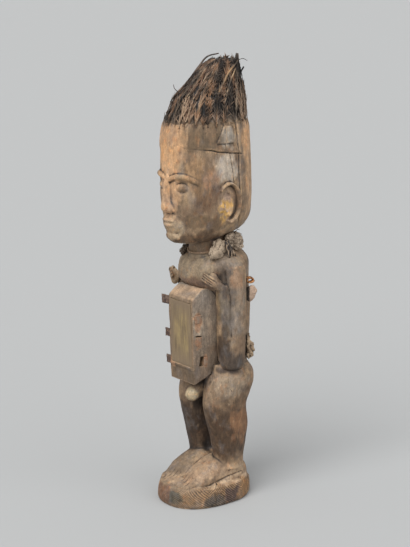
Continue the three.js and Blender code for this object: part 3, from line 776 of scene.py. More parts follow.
def adze_strokes(places):
    """Oblique strokes round the plinth's side: from -1 in one to 1 between two, and where they are."""
    x, y, z = places.T
    around = np.arctan2(y / PLINTH_HALF_LENGTH, x / PLINTH_HALF_WIDTH) * 86
    slant = np.where(drift(places, 30, 10) > 0.25, -1.1, 0.9)
    wave = np.sin((around * 0.86 + z * slant) / 0.78 + 4 * drift(places, 26, 8) + 1.2 * drift(places, 7, 14))
    return wave, ease(z, 45, 36) * ease(drift(places, (24, 24, 18), 9), -0.9, 0)


stroke, stroke_zone = adze_strokes(places)
relief += 0.55 * stroke_zone * stroke
rim = (np.abs(x) / PLINTH_HALF_WIDTH) ** PLINTH_SQUARE + (np.abs(y) / PLINTH_HALF_LENGTH) ** PLINTH_SQUARE
relief += band(z, 30, 36, 44, 50) * (2 * dent(rim - 0.84, 0.05) - 0.8 * dent(rim - 0.7, 0.06))

for path, width, deep in CHECKS:
    relief -= deep * dent(along_path(places, path) + 0.35 * drift(places, 5, 12), width)
for middle, reach, deep in HOLLOWS:
    relief -= deep * dent(away_from(places, middle, reach), 1)
for side, lane in itertools.product(SIDES, (-1, 0, 1)):
    aside = side * (HAND_OUT[side] + 0.447 * lane * FINGER_APART)
    up = HAND_HEIGHT[side] + 0.894 * lane * FINGER_APART
    path = [(side * a + aside, b - HAND_OUT[side] / 2, c + up) for a, b, c in KNUCKLES]
    relief -= 2.6 * dent(along_path(places, path), 1.7)
for side, number in itertools.product(SIDES, range(1, TOES)):
    lane = toe_lane(side, number)
    path = [(lane, -80, 38), (lane * 0.97, -68, 46), (lane * 0.94, -54, 57)]
    relief -= 1.8 * dent(along_path(places, path), 1.7)
for middle, reach, deep in KNOCKS:
    relief -= deep * ragged_spot(places, middle, (reach,) * 3, 0.25, 21)
relief -= 1.1 * ease(drift(places, 9, 31) + 0.5 * drift(places, 4, 32), 0.72, 0.95) * ease(z, 70, 40)
crease = ease(hollows_of(figure_mesh, places, 14), 0.25, 1.1)
relief -= CREASE_DEPTH * crease * ease(z, 40, 64)
relief *= ease(z, 0, 2.5)
places = places + normals * relief[:, None]
places[:, 2] = np.clip(places[:, 2], 0, CROWN)
wide = np.abs(places[:, 0]) - WIDEST
places[:, 0] -= np.sign(places[:, 0]) * 0.45 * np.maximum(wide, 0)
places[:, 1] += 0.6 * np.maximum(FARTHEST_FRONT - places[:, 1], 0)
move_to(figure_mesh, places)

MOST_TRIANGLES = 196000
share_kept = MOST_TRIANGLES / (2 * len(figure_mesh.polygons))
figure_mesh = worked(figure_mesh, "DECIMATE", ratio=share_kept)


def linear(colour):
    """A colour given as the eye sees it, from 0 to 255, as the light it stands for."""
    share = np.asarray(colour, float) / 255
    return np.where(share < 0.04045, share / 12.92, ((share + 0.055) / 1.055) ** 2.4)


# Where the wood is worn bare, greased, dusted or darkened, and where shade, shadows and highlights are
# painted on: middle, half sizes, colour and strength
PATINA_SHADE_AND_HIGHLIGHTS = (
    ((0, -86, 742), (64, 34, 40), (178, 144, 112), 0.95),
    ((-12, -92, 706), (44, 30, 26), (206, 162, 118), 0.95),
    ((0, -96, 650), (34, 30, 80), (196, 160, 126), 0.85),
    ((14, -92, 566), (30, 24, 26), (176, 158, 134), 0.8),
    ((44, -66, 748), (16, 22, 34), (138, 116, 92), 0.8),
    ((66, -34, 745), (20, 30, 30), (114, 99, 82), 0.8),
    ((68, 2, 746), (14, 20, 24), (154, 150, 146), 0.9),
    ((54, -68, 684), (22, 26, 28), (150, 122, 92), 0.8),
    ((62, -46, 660), (20, 22, 40), (124, 100, 76), 0.8),
    ((70, 0, 686), (14, 32, 30), (186, 177, 168), 0.9),
    ((62, -46, 618), (22, 22, 24), (102, 80, 62), 0.75),
    ((52, -58, 585), (24, 26, 16), (108, 90, 70), 0.8),
    ((62, -22, 572), (20, 26, 16), (98, 80, 62), 0.75),
    # Painted shade under the jaw
    ((36, -40, 548), (44, 50, 14), (84, 66, 50), 0.85),
    ((54, 72, 680), (22, 26, 112), (176, 148, 120), 0.85),
    ((58, 60, 740), (18, 26, 40), (198, 160, 124), 0.85),
    ((60, -30, 664), (16, 18, 22), (146, 112, 84), 0.7),
    ((64, -22, 640), (12, 12, 22), (96, 78, 66), 0.7),
    ((66, -18, 722), (12, 12, 10), (168, 124, 92), 0.6),
    ((34.7, -36.8, 777), (9, 9, 5), (206, 166, 84), 0.8),
    ((56, -30, 464), (13, 12, 14), (146, 130, 112), 0.85),
    ((-61, -28, 452), (14, 14, 20), (178, 160, 138), 0.9),
    ((66, -12, 416), (12, 8, 46), (126, 108, 82), 0.6),
    ((80, 6, 420), (20, 34, 96), (106, 102, 99), 0.6),
    # Painted shade in the valley between the left forearm and upper arm, and low on the forearm
    ((77, -7, 376), (8, 7, 96), (84, 73, 65), 0.92),
    ((66, -2, 328), (20, 14, 30), (66, 54, 44), 0.9),
    ((74, -5, 366), (9, 8, 24), (84, 72, 60), 0.8),
    # Painted highlights down the left upper arm and at its top
    ((84, 20, 400), (8, 12, 60), (144, 130, 116), 0.6),
    ((85, 14, 470), (8, 8, 14), (182, 166, 152), 0.7),
    # Painted shadows under the elbows and the box, and painted shade between the legs
    ((58, 0, 280), (14, 14, 6), (56, 45, 38), 0.7),
    ((-58, 0, 280), (14, 14, 6), (56, 45, 38), 0.7),
    ((0, -20, 250), (36, 24, 10), (44, 35, 29), 0.85),
    ((8, 6, 170), (12, 60, 70), (40, 31, 26), 0.8),
    ((-10, 26, 158), (15, 52, 84), (30, 24, 20), 0.92),
    ((-22, 12, 246), (14, 24, 12), (40, 31, 25), 0.85),
    # Painted light on the outer flank of the left foot
    ((64, 18, 43), (17, 60, 9), (182, 160, 138), 0.95),
    ((66, 20, 62), (16, 50, 16), (176, 156, 134), 0.85),
    ((78, 8, 246), (4, 5, 7), (178, 160, 140), 0.7),
    ((75, 6, 214), (4, 5, 8), (170, 152, 132), 0.7),
    ((-58, 60, 680), (22, 40, 110), (132, 110, 86), 0.6),
    ((-66, -10, 690), (16, 40, 50), (140, 122, 102), 0.7),
    ((0, 96, 650), (50, 20, 90), (122, 102, 82), 0.6),
    # Painted shade under the head
    ((0, 12, 538), (50, 52, 13), (92, 72, 56), 0.8),
    ((0, -20, 490), (74, 50, 26), (137, 124, 106), 0.85),
    # Painted shade under the chest
    ((20, -34, 452), (60, 24, 12), (100, 80, 70), 0.7),
    ((62, 6, 500), (26, 30, 30), (112, 102, 94), 0.8),
    # Painted shade in the hollow between the left hand and the upper arm
    ((64, -14, 470), (14, 14, 20), (96, 80, 68), 0.7),
    ((84, 16, 466), (12, 16, 24), (158, 128, 104), 0.7),
    # Painted shade on the lower ends of the elbows
    ((76, 8, 296), (26, 40, 26), (68, 59, 53), 0.95),
    ((-76, 8, 298), (26, 40, 24), (92, 80, 70), 0.8),
    ((0, 78, 400), (70, 26, 110), (128, 106, 82), 0.6),
    ((0, 80, 262), (60, 30, 34), (142, 124, 106), 0.7),
    ((70, 14, 250), (24, 40, 24), (150, 136, 120), 0.8),
    ((-70, 14, 250), (24, 40, 24), (128, 112, 96), 0.7),
    # The legs darkened, the right leg further with painted shade
    ((46, 22, 156), (54, 64, 74), (72, 56, 42), 0.97),
    ((-46, 22, 152), (50, 64, 78), (58, 45, 35), 0.97),
    ((70, 46, 168), (13, 34, 48), (138, 102, 74), 0.65),
    ((-66, 50, 160), (14, 24, 40), (120, 92, 66), 0.6),
    ((8, -38, 222), (18, 16, 15), (180, 168, 142), 0.9),
    ((30, -30, 66), (44, 54, 24), (152, 128, 106), 0.92),
    ((-32, -36, 66), (30, 46, 28), (102, 86, 71), 0.92),
    ((-10, -70, 46), (40, 12, 10), (162, 140, 118), 0.7),
    ((40, -10, 24), (70, 100, 22), (128, 103, 78), 0.85),
    ((-16, -92, 22), (34, 20, 18), (112, 84, 66), 0.9),
    ((26, -91, 20), (20, 14, 14), (80, 77, 68), 0.95),
    ((74, -26, 12), (16, 28, 12), (74, 66, 58), 0.9),
    ((76, 12, 20), (12, 20, 16), (76, 62, 60), 0.9),
    ((66, 56, 22), (18, 18, 22), (138, 106, 72), 0.8),
    ((-60, 20, 20), (26, 60, 20), (118, 98, 78), 0.7),
)
WOOD_TONES = ((128, 110, 92), (98, 82, 68), (150, 128, 102))
BARE_TONE = (196, 166, 132)
# Painted shade and grime for the hollows
GRIME_AND_SHADE_TONE = (38, 30, 24)
DUST_TONE = (176, 164, 144)
RESIDUE_TONE = (198, 160, 92)
DARKEST = 4
PALEST = 250


def mottled(places, tones, broad, small, seed):
    """Colours that drift from a plain tone towards a dark and a pale one."""
    plain, dark, pale = np.array(tones, float)
    mottle = (drift(places, broad, seed) + 0.6 * drift(places, small, seed + 1))[:, None]
    return plain + (pale - plain) * np.clip(mottle, 0, 1) + (dark - plain) * np.clip(-mottle, 0, 1)


def toned(tones, colour, share):
    """The tones drawn towards a colour by a share for every vertex."""
    return tones + (np.asarray(colour, float) - tones) * share[:, None]


def patina_and_painted_light_of(mesh):
    """Colours and wear for every vertex of the carving, worked out from its own hollows and edges, with
    painted shade in the hollows and painted shadows and highlights from the table of spots.
    """
    places, normals = places_of(mesh), normals_of(mesh)
    x, y, z = places.T
    tones = mottled(places, WOOD_TONES, 26, 9, 42)
    # Spots from the table, among them painted shade, shadows and highlights
    for number, (middle, reach, colour, strength) in enumerate(PATINA_SHADE_AND_HIGHLIGHTS):
        ragged = min(0.4, 0.1 + 4 / min(reach))
        tones = toned(tones, colour, strength * ragged_spot(places, middle, reach, ragged, 60 + number))
    beside = ease(past_temple(x, y), -1.5, 1.5) * ease(y, 0, -16)
    beside *= ease(z, 712, 722) * ease(drift(places, 14, 38), -1.1, 0.1)
    tones = toned(tones, (90, 76, 60), 0.7 * beside)
    speckle = 0.05 * drift(places, (7, 7, 60), 41) + 0.08 * drift(places, 5, 44)
    speckle += 0.07 * drift(places, 2.4, 45)
    ochre = ease(drift(places, 7, 50) + 0.6 * drift(places, 2.6, 51), 0.3, 1.1)[:, None]
    ash = ease(drift(places, 11, 52) + 0.6 * drift(places, 3.2, 53), 0.3, 1.1)[:, None]
    tones *= (1 + speckle[:, None]) * (1 + ochre * (0.08, -0.02, -0.1)) * (1 + ash * (-0.1, -0.07, 0.0))
    roots = ease(z, 752, 773) * ease(drift(places, (3.2, 3.2, 22), 54), 0.0, 0.5)
    tones = toned(tones, (62, 49, 39), 0.75 * roots)
    stroke, stroke_zone = adze_strokes(places)
    # Painted light and shade on the adze strokes: paler on their ridges, darker in their grooves
    tones *= 1 + 0.2 * (stroke_zone * stroke)[:, None]
    fine, broad, wide = (hollows_of(mesh, places, rounds) for rounds in (3, 40, 130))
    edge = ease(-fine, 0.05, 0.3) * ease(drift(places, 12, 46), -0.5, 0.3)
    edge *= 0.4 + 0.6 * ease(z, 40, 70)
    tones = toned(tones, BARE_TONE, 0.5 * edge)
    dust = ease(normals[:, 2], 0.35, 0.95) * ease(drift(places, 18, 47), -0.6, 0.5)
    tones = toned(tones, DUST_TONE, 0.25 * dust)
    in_ear = dent(away_from(places, (70, 4, 612), (14, 19, 30)) ** 2, 1)
    # Painted shade with grime: the hollows darkened, most the broad and wide ones, a painted shadow in the
    # gap beside the box, and less on the flanks of the feet
    shadow_beside_box = ease(np.abs(x), 48, 44) * band(z, 262, 274, 436, 450) * (np.abs(y) < 16)
    grime_and_shade = 0.5 * ease(broad, 0.4, 2.4) + 0.6 * ease(wide, 1.2, 5.5)
    grime_and_shade *= 1 - 0.85 * ease(np.abs(x), 34, 48) * band(z, 26, 34, 66, 80)
    grime_and_shade += 0.8 * ease(fine, 0.06, 0.45) + 0.8 * shadow_beside_box
    tones = toned(tones, GRIME_AND_SHADE_TONE, np.clip(grime_and_shade, 0, 0.94) * (1 - 0.75 * in_ear))
    tones = toned(tones, (198, 176, 164), 0.85 * in_ear * ease(fine, -0.2, 0.05))
    residue = ragged_spot(places, (69, -4, 606), (12, 20, 27), 0.5, 48)
    tones = toned(tones, RESIDUE_TONE, 0.85 * residue * ease(drift(places, 6, 49), -0.45, 0))
    return np.clip(tones * (1.01, 0.985, 0.945), DARKEST, PALEST), edge


def store_on(mesh, name, values):
    """Keeps a colour or a number for every vertex, for the piece's material to read."""
    values = np.asarray(values, np.float32)
    if values.ndim == 2:
        kept = mesh.attributes.new(name, "FLOAT_COLOR", "POINT")
        whole = np.concatenate([values, np.ones((len(values), 1), np.float32)], axis=1)
        kept.data.foreach_set("color", whole.ravel())
    else:
        kept = mesh.attributes.new(name, "FLOAT", "POINT")
        kept.data.foreach_set("value", values)


def put_in_place(name, mesh, material, replaced=()):
    """A finished piece: its mesh brought to metres, dressed, smooth, and riding on the figure."""
    mesh.transform(Matrix.Scale(MM, 4))
    mesh.shade_smooth()
    mesh.materials.clear()
    mesh.materials.append(material)
    piece = in_scene(name, mesh)
    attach(piece, "root")
    if replaced:
        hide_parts(*replaced)


def recipe(name):
    """A new material, its shader, and a socket of places on the object."""
    material = bpy.data.materials.new(name)
    material.use_nodes = True
    shader = material.node_tree.nodes["Principled BSDF"]
    places = material.node_tree.nodes.new("ShaderNodeTexCoord").outputs["Object"]
    return material, shader, places


def feed(made, inputs):
    """Gives a node its inputs, each a value or another node's socket."""
    for name, value in inputs.items():
        if isinstance(value, bpy.types.NodeSocket):
            made.id_data.links.new(value, made.inputs[name])
        else:
            made.inputs[name].default_value = value
    return made


def node(kind, inputs, near=None, **settings):
    """One shader node, in the same tree as the sockets it is fed from."""
    near = near or next(value for value in inputs.values() if isinstance(value, bpy.types.NodeSocket))
    made = near.id_data.nodes.new("ShaderNode" + kind)
    for name, value in settings.items():
        setattr(made, name, value)
    return feed(made, inputs)


def stored(shader, name, kind="Color"):
    """What the mesh keeps for every vertex under a name."""
    return node("Attribute", {}, shader, attribute_name=name).outputs[kind]


def noise(places, scale, stretch=(1, 1, 1), detail=4, rough=0.6):
    """Noise over the object's places, drawn out along an axis by a stretch under 1."""
    drawn = node("Mapping", {"Vector": places, "Scale": stretch}).outputs["Vector"]
    values = {"Vector": drawn, "Scale": scale, "Detail": detail, "Roughness": rough}
    return node("TexNoise", values).outputs["Fac"]


def range_of(source, low, high, start=0.0, end=1.0):
    """A source between low and high brought to run from start to end."""
    values = {"Value": source, "From Min": low, "From Max": high, "To Min": start, "To Max": end}
    return node("MapRange", values).outputs["Result"]


def reckoned(operation, *values):
    return node("Math", dict(enumerate(values)), operation=operation).outputs["Value"]


def paint(tone):
    """Three numbers as the eye sees them become a shader's colour. Anything else stays as it is."""
    return (*linear(tone), 1) if isinstance(tone, tuple) and len(tone) == 3 else tone


def blend(share, under, over, way="MIX"):
    """Two colours mixed by a share."""
    colours = {0: share, 6: paint(under), 7: paint(over)}
    return node("Mix", colours, data_type="RGBA", blend_type=way, clamp_factor=True).outputs[2]


def layer(colour, source, low, high, most, tone, way="MIX"):
    """A colour with a tone laid over it, the more the nearer the source comes from low to high."""
    return blend(range_of(source, low, high, 0, most), colour, tone, way)


def bumped(shader, height, distance, strength):
    """Raises the surface by a height, for the light only."""
    made = node("Bump", {"Height": height, "Distance": distance, "Strength": strength})
    feed(shader, {"Normal": made.outputs["Normal"]})


# Over 1, so that it brightens what it multiplies
GLINT = (2.1, 2.0, 1.85, 1)


def patinated_wood_with_painted_light(name, greased=0.5):
    """Old hardwood: the patina and painted light stored on the mesh, streaked by its grain, flecked and
    finely checked.
    """
    material, shader, places = recipe(name)
    patina_and_painted_light = stored(shader, "patina_and_painted_light")
    cloud = noise(places, 38, (1, 1, 0.6), 4, 0.6)
    colour = layer(patina_and_painted_light, cloud, 0.54, 0.68, 0.24, (132, 128, 128))
    colour = layer(colour, cloud, 0.46, 0.32, 0.2, (158, 126, 98))
    mottle = noise(places, 105, (1, 1, 0.7), 6, 0.72)
    colour = layer(colour, mottle, 0.5, 0.34, 0.34, (84, 62, 46), "MULTIPLY")
    colour = layer(colour, mottle, 0.52, 0.7, 0.32, GLINT, "MULTIPLY")
    grain = noise(places, 330, (1, 1, 0.12), 5, 0.65)
    colour = layer(colour, grain, 0.5, 0.34, 0.18, (84, 66, 50), "MULTIPLY")
    fleck = noise(places, 400, (1, 1, 0.7), 5, 0.75)
    colour = layer(colour, fleck, 0.56, 0.7, 0.6, GLINT, "MULTIPLY")
    colour = layer(colour, fleck, 0.42, 0.3, 0.6, (40, 30, 23))
    hands = range_of(noise(places, 40, (1, 1, 0.6), 3), 0.35, 0.65, 0.82 - 0.5 * greased, 0.76)
    rough = reckoned("SUBTRACT", hands, range_of(stored(shader, "worn", "Fac"), 0, 1, 0, 0.12))
    feed(shader, {"Base Color": colour, "Roughness": rough, "Specular IOR Level": 0.4})
    bumped(shader, blend(0.5, noise(places, 240, (1, 1, 0.5), 6, 0.72), grain), 0.0016, 0.6)
    return material


patina_and_painted_light, worn = patina_and_painted_light_of(figure_mesh)
store_on(figure_mesh, "patina_and_painted_light", linear(patina_and_painted_light))
store_on(figure_mesh, "worn", worn)
figure_wood = patinated_wood_with_painted_light("patinated_wood_with_painted_light")
put_in_place("figure_carving", figure_mesh, figure_wood, ["carved_figure"])

# Belly box. A closed wooden box with a raked top, let into a hollow of the belly between the forearms. Its
# front holds a pane, and slots are cut through its sides where the iron tabs were driven in.
PANE_HALF_WIDTH = 33
PANE_BOTTOM = 288
PANE_TOP = 418
PANE_THICK = 3
PANE_SUNK = 1
TAB_TALL = 18
TAB_THICK = 2
TAB_DEEP = 12
TAB_INSET = 6
# Tabs that stand out: height, reach, degrees of turn and how tall
TABS_OUT = {"upper": (411, 30, 1, 19), "middle": (344, 18, 7, 18), "lower": (288, 19, -1, 18)}
# Tabs hammered flat: height, place along the side, width and how much of the slot shows
TABS_FLAT = {"upper": (386, -45, 16, 0), "middle": (340, -43, 12, 3), "lower": (298, -26, 9, 9)}
BOX_VOXEL = 1.1
BOX_TONES = ((132, 120, 108), (110, 97, 85), (150, 138, 124))
BOX_DUST = (180, 154, 128)
RUST_TONE = (164, 126, 98)


def pane_block(swell=0.0, out=0.0):
    z = (PANE_BOTTOM + PANE_TOP) / 2
    y = box_front_at(z) + PANE_SUNK + (PANE_THICK + swell - out) / 2
    sizes = (2 * (PANE_HALF_WIDTH + swell), PANE_THICK + out + swell, PANE_TOP - PANE_BOTTOM + 2 * swell)
    return block((0, y, z), sizes, (box_lean, 0, 0))


def tab_out_block(tab, swell=0.0):
    z, reach, turn, tall = tab
    long = reach + TAB_DEEP
    middle = (-(BOX_HALF_WIDTH - TAB_DEEP + long / 2), box_front_at(z) + TAB_INSET, z)
    sizes = (long + 2 * swell, TAB_THICK + 2 * swell, tall + 2 * swell)
    return block(middle, sizes, (0, radians(-3), radians(turn)))


def tab_flat_block(tab, swell=0.0):
    z, y, wide, _ = tab
    sizes = (TAB_THICK + 2 * swell, wide + 2 * swell, TAB_TALL + 2 * swell)
    return block((BOX_HALF_WIDTH - 0.2, y, z), sizes, (0, 0, radians(2)))


def slots_beside(tab):
    """The open slot in front of a flattened tab, or above it, where one shows."""
    z, y, wide, slot = tab
    above = (BOX_HALF_WIDTH, y, z + TAB_TALL / 2 + slot / 2), (24, wide + 4, slot)
    before = (BOX_HALF_WIDTH, y - wide / 2 - slot / 2 - 0.5, z), (24, slot, 20)
    return [block(*(before if slot > 5 else above), (radians(-8), 0, 0))] if slot else []


def rounded(form, offset, segments, cuts=0):
    """A form with its edges rounded and, if asked, its faces divided into a grid."""
    bmesh.ops.bevel(
        form, geom=form.edges[:], offset=offset, segments=segments, profile=0.5, affect="EDGES", material=-1
    )
    if cuts:
        bmesh.ops.subdivide_edges(form, edges=form.edges[:], cuts=cuts, use_grid_fill=True)
    return form


box_cuts = [pane_block(0.1, 4)] + [tab_out_block(tab, 0.4) for tab in TABS_OUT.values()]
box_cuts += [tab_flat_block(tab, 0.1) for tab in TABS_FLAT.values()]
box_cuts += [slot for tab in TABS_FLAT.values() for slot in slots_beside(tab)]
box_mesh, places = remeshed([cut(rounded(box_outline(), BOX_EDGE, 3), *box_cuts)], BOX_VOXEL, 2)
normals = normals_of(box_mesh)
hewn = facets(places, (16, 16, 30), 71)[0]
relief = 0.5 * (hewn**2 - 0.45) + 0.35 * drift(places, (8, 8, 50), 72) + 0.7 * drift(places, 30, 73)
relief -= 0.5 * ease(drift(places, (3, 3, 26), 74), 0.55, 0.9)
on_front = ease(-normals[:, 1], 0.7, 0.9)
relief += on_front * (0.7 * dent(places[:, 2] - PANE_BOTTOM + 4, 3) - 1.6 * ease(places[:, 2], 283, 279))
edge_wear = ease(-hollows_of(box_mesh, places, 12), 0.25, 1.2)
relief -= 1.5 * edge_wear * ease(drift(places, 11, 75), -0.1, 0.6)
move_to(box_mesh, places + normals * relief[:, None])


def box_colours(mesh):
    """Colours and wear of the box: dusted above, greyed at the sides towards the top, darker towards the
    bottom, stained with rust beside the iron, and darkened in its hollows with painted shade and grime.
    """
    places, normals = places_of(mesh), normals_of(mesh)
    y, z = places[:, 1], places[:, 2]
    tones = mottled(places, BOX_TONES, 20, 7, 81)
    tones = toned(tones, (142, 134, 126), 0.55 * ease(z + 0.5 * y, 360, 400))
    tones = toned(tones, (98, 83, 70), 0.65 * ease(z, 350, 280))
    front = ease(-normals[:, 1], 0.3, 0.8)
    tones = toned(tones, (122, 103, 82), 0.75 * front)
    tones = toned(tones, (98, 84, 69), 0.7 * front * ease(z, 292, 284))
    stains = [((BOX_HALF_WIDTH, tab[1], tab[0]), (8, tab[2] * 0.7, 13)) for tab in TABS_FLAT.values()]
    stains += [((-BOX_HALF_WIDTH + 6, BOX_FRONT, TABS_OUT["lower"][0]), (12, 10, 10))]
    stains += [((BOX_HALF_WIDTH, -46, 372), (8, 7, 12))]
    for number, (middle, reach) in enumerate(stains):
        tones = toned(tones, RUST_TONE, 0.65 * ragged_spot(places, middle, reach, 0.7, 90 + number))
    tones *= 1 + 0.09 * drift(places, (5, 5, 40), 83)[:, None] + 0.07 * drift(places, 2.4, 84)[:, None]
    fine, broad = hollows_of(mesh, places, 3), hollows_of(mesh, places, 30)
    worn = ease(-fine, 0.05, 0.3) * ease(drift(places, 10, 85), -0.6, 0.3)
    tones = toned(tones, (172, 148, 120), 0.45 * worn)
    dust = ease(normals[:, 2], 0.3, 0.8) * ease(drift(places, 16, 86), -0.9, 0.2)
    tones = toned(tones, BOX_DUST, 0.8 * dust)
    # Painted shade and grime in the hollows, less on the front
    grime_and_shade = np.clip(0.8 * ease(fine, 0.06, 0.45) + 0.6 * ease(broad, 0.4, 2.2), 0, 0.92)
    tones = toned(tones, GRIME_AND_SHADE_TONE, grime_and_shade * (1 - 0.75 * front))
    return np.clip(tones * (1.01, 0.985, 0.955), DARKEST, PALEST), worn


patina_and_painted_light, worn = box_colours(box_mesh)
store_on(box_mesh, "patina_and_painted_light", linear(patina_and_painted_light))
store_on(box_mesh, "worn", worn)
put_in_place("belly_box_wood", box_mesh, patinated_wood_with_painted_light("box_wood", 0.2), ["belly_box"])

# Pane of the box. One slab of yellowed, dulled glass or resin set flush in the front, streaked by what has
# run down behind and over it, and browned round its edges.
pane_mesh = mesh_of([rounded(pane_block(), 0.7, 2, 24)])
places = places_of(pane_mesh)
front_side = ease(places[:, 1], PANE_THICK / 2 + box_front_at(350), box_front_at(350))
waves = 0.8 + 0.35 * drift(places, (14, 14, 40), 101) - 0.4 * ease(drift(places, (3, 9, 30), 102), 0.4, 0.9)
places[:, 1] -= waves * front_side
move_to(pane_mesh, places)


def dulled_pane():
    material, shader, places = recipe("dulled_pane")
    streak = noise(places, 150, (1, 1, 0.12), 5, 0.6)
    cloud = noise(places, 34, (1, 1, 0.5), 5, 0.6)
    colour = blend(range_of(cloud, 0.36, 0.64), (112, 94, 68), (142, 121, 86))
    colour = layer(colour, streak, 0.52, 0.66, 0.7, (166, 145, 94))
    colour = layer(colour, streak, 0.47, 0.34, 0.75, (90, 74, 54))
    across, _, up = node("SeparateXYZ", {"Vector": places}).outputs
    rim = range_of(reckoned("ABSOLUTE", across), 0.017, 0.031)
    ends = reckoned("MAXIMUM", range_of(up, 0.33, 0.292), range_of(up, 0.375, 0.412))
    brown = reckoned("MULTIPLY", reckoned("MAXIMUM", rim, ends), range_of(cloud, 0.3, 0.6, 0.5, 1))
    colour = blend(brown, colour, (122, 103, 82))
    colour = layer(colour, noise(places, 620, (1, 1, 0.7), 3, 0.7), 0.66, 0.72, 0.7, (60, 46, 34))
    feed(shader, {"Base Color": colour, "Roughness": range_of(cloud, 0.3, 0.7, 0.32, 0.6)})
    bumped(shader, streak, 0.0006, 0.4)
    return material


put_in_place("belly_box_pane", pane_mesh, dulled_pane(), ["box_pane"])

# Iron tabs. Six strips of thin sheet iron driven through the box near its front edge. On the right side
# they stand out; on the left they are hammered flat beside their slots and have nearly rusted away.
TAB_CUTS = 9


def rusted_iron(name, rust):
    material, shader, places = recipe(name)
    cloud = noise(places, 120, (1, 1, 1), 6, 0.7)
    dark, light = ((62, 46, 42), (96, 72, 60)) if rust < 0.5 else ((128, 99, 80), (156, 122, 97))
    crust = range_of(noise(places, 210, (1, 1, 1), 5, 0.65), 0.62 - 0.3 * rust, 0.72 - 0.2 * rust)
    colour = blend(crust, blend(range_of(cloud, 0.4, 0.6), dark, light), (150, 114, 88))
    colour = layer(colour, cloud, 0.46, 0.6, 0.3 + 0.6 * rust, (142, 124, 108))
    rough = range_of(crust, 0, 1, 0.6, 0.92)
    feed(shader, {"Base Color": colour, "Metallic": 0.1, "Roughness": rough})
    bumped(shader, noise(places, 500, (1, 1, 1), 5, 0.7), 0.0008, 0.7)
    return material


def iron_strip(name, form, seed, material):
    """A strip of sheet iron, bent a little and eaten along its edges."""
    mesh = mesh_of([rounded(form, 0.35, 1, TAB_CUTS)])
    places = places_of(mesh)
    middle = places.mean(axis=0)
    out = places - middle
    edge = np.abs(out) / np.abs(out).max(axis=0)
    eaten = 1 - 0.07 * ease(edge.max(axis=1), 0.7, 1) * (1 + drift(places, 4, seed))
    places = middle + out * np.where(np.abs(out).max(axis=0) > 3, eaten[:, None], 1)
    places += normals_of(mesh) * (0.3 * drift(places, 5, seed + 1))[:, None]
    move_to(mesh, places)
    put_in_place("tab_" + name, mesh, material, ["iron_tab_" + name])


iron, rusty_iron = rusted_iron("rusted_iron", 0.1), rusted_iron("bright_rust", 1.0)
for number, (name, tab) in enumerate(TABS_OUT.items()):
    iron_strip("out_" + name, tab_out_block(tab), 110 + number, iron)
for number, (name, tab) in enumerate(TABS_FLAT.items()):
    iron_strip("flat_" + name, tab_flat_block(tab), 120 + number, rusty_iron)

# Neck cord. Two strands of bark fibre twisted into one cord, laid round the foot of the neck and knotted
# behind, where a packet hides the knot.
CORD_AT = Vector((0, 13, SHOULDER + 12))
CORD_HALF = 39.5
CORD_DEEP = 44
CORD_TILT = radians(12)
CORD_STEPS = 300
CORD_TWISTS = 34
STRAND = 1.15


def cord_strand(phase):
    rings = []
    for step in range(CORD_STEPS + 1):
        turn = pi * 0.5 + 2 * pi * step / CORD_STEPS
        twist = phase + 2 * pi * CORD_TWISTS * step / CORD_STEPS
        out = Vector((cos(turn), sin(turn), 0))
        away = out * (STRAND * cos(twist)) + Vector((0, 0, STRAND * sin(twist)))
        spot = Vector((CORD_HALF * out.x, CORD_DEEP * out.y, 0)) + away
        spot.rotate(Euler((CORD_TILT, 0, 0)))
        rings.append(ring(*(spot + CORD_AT), STRAND))
    return skin(rings, sides=6, rows=CORD_STEPS, across=(0.1, 0.2, 1), follow=True)


def bark_fibre(name, tone, pale):
    material, shader, places = recipe(name)
    strand = noise(places, 900, (1, 1, 1), 4, 0.7)
    feed(shader, {"Base Color": blend(range_of(strand, 0.35, 0.65), tone, pale), "Roughness": 0.85})
    bumped(shader, strand, 0.0004, 0.6)
    return material


cord_fibre = bark_fibre("bark_fibre", (124, 100, 78), (174, 148, 122))
cord_mesh = mesh_of([cord_strand(0), cord_strand(pi)])
put_in_place("neck_cord_twisted", cord_mesh, cord_fibre, ["neck_cord"])

# Neck packets. Scraps of cloth and leaf folded round earth and tied tight, crusted over with clay until they
# are hard lumps. Each is one closed lump with its folds pressed in, and loose fibres stand out of it.

# Each packet: the size and depth of its folds, its colours above and in them, and its lumps
PACKETS = {
    "neck_packet_left": (
        (12.0, 3.6, (178, 160, 138), (128, 110, 92)),
        (((47, -4, 519), (13, 19, 13)), ((44, 4, 532), (11, 13, 10)), ((51, -17, 514), (10, 10, 9))),
    ),
    "neck_packet_back_left": (
        (6.0, 2.6, (170, 152, 132), (116, 100, 84)),
        (
            ((38, 43, 534), (18, 19, 18)),
            ((46, 29, 541), (10, 10, 10)),
            ((33, 58, 529), (10, 11, 12)),
            ((47, 48, 523), (10, 11, 9)),
        ),
    ),
    "neck_packet_right": (
        (6.5, 3.2, (96, 82, 68), (50, 41, 34)),
        (((-43, -8, 511), (9, 14, 10)), ((-40, -20, 506), (7, 8, 8)), ((-45, 7, 518), (8, 11, 8))),
    ),
}
PACKET_VOXEL = 0.9
# The level direction to the figure's back left, where the back packets hang
TO_BACK_LEFT = np.array([0.616, 0.788, 0])


def crusted_cloth(name):
    material, shader, places = recipe(name)
    patina_and_painted_light = stored(shader, "patina_and_painted_light")
    crumb = noise(places, 600, (1, 1, 1), 6, 0.75)
    colour = layer(patina_and_painted_light, crumb, 0.48, 0.3, 0.75, (52, 42, 34))
    colour = layer(colour, crumb, 0.58, 0.72, 0.5, (206, 192, 170))
    feed(shader, {"Base Color": colour, "Roughness": 0.92})
    bumped(shader, crumb, 0.0012, 0.8)
    return material


cloth_crust = crusted_cloth("crusted_cloth")


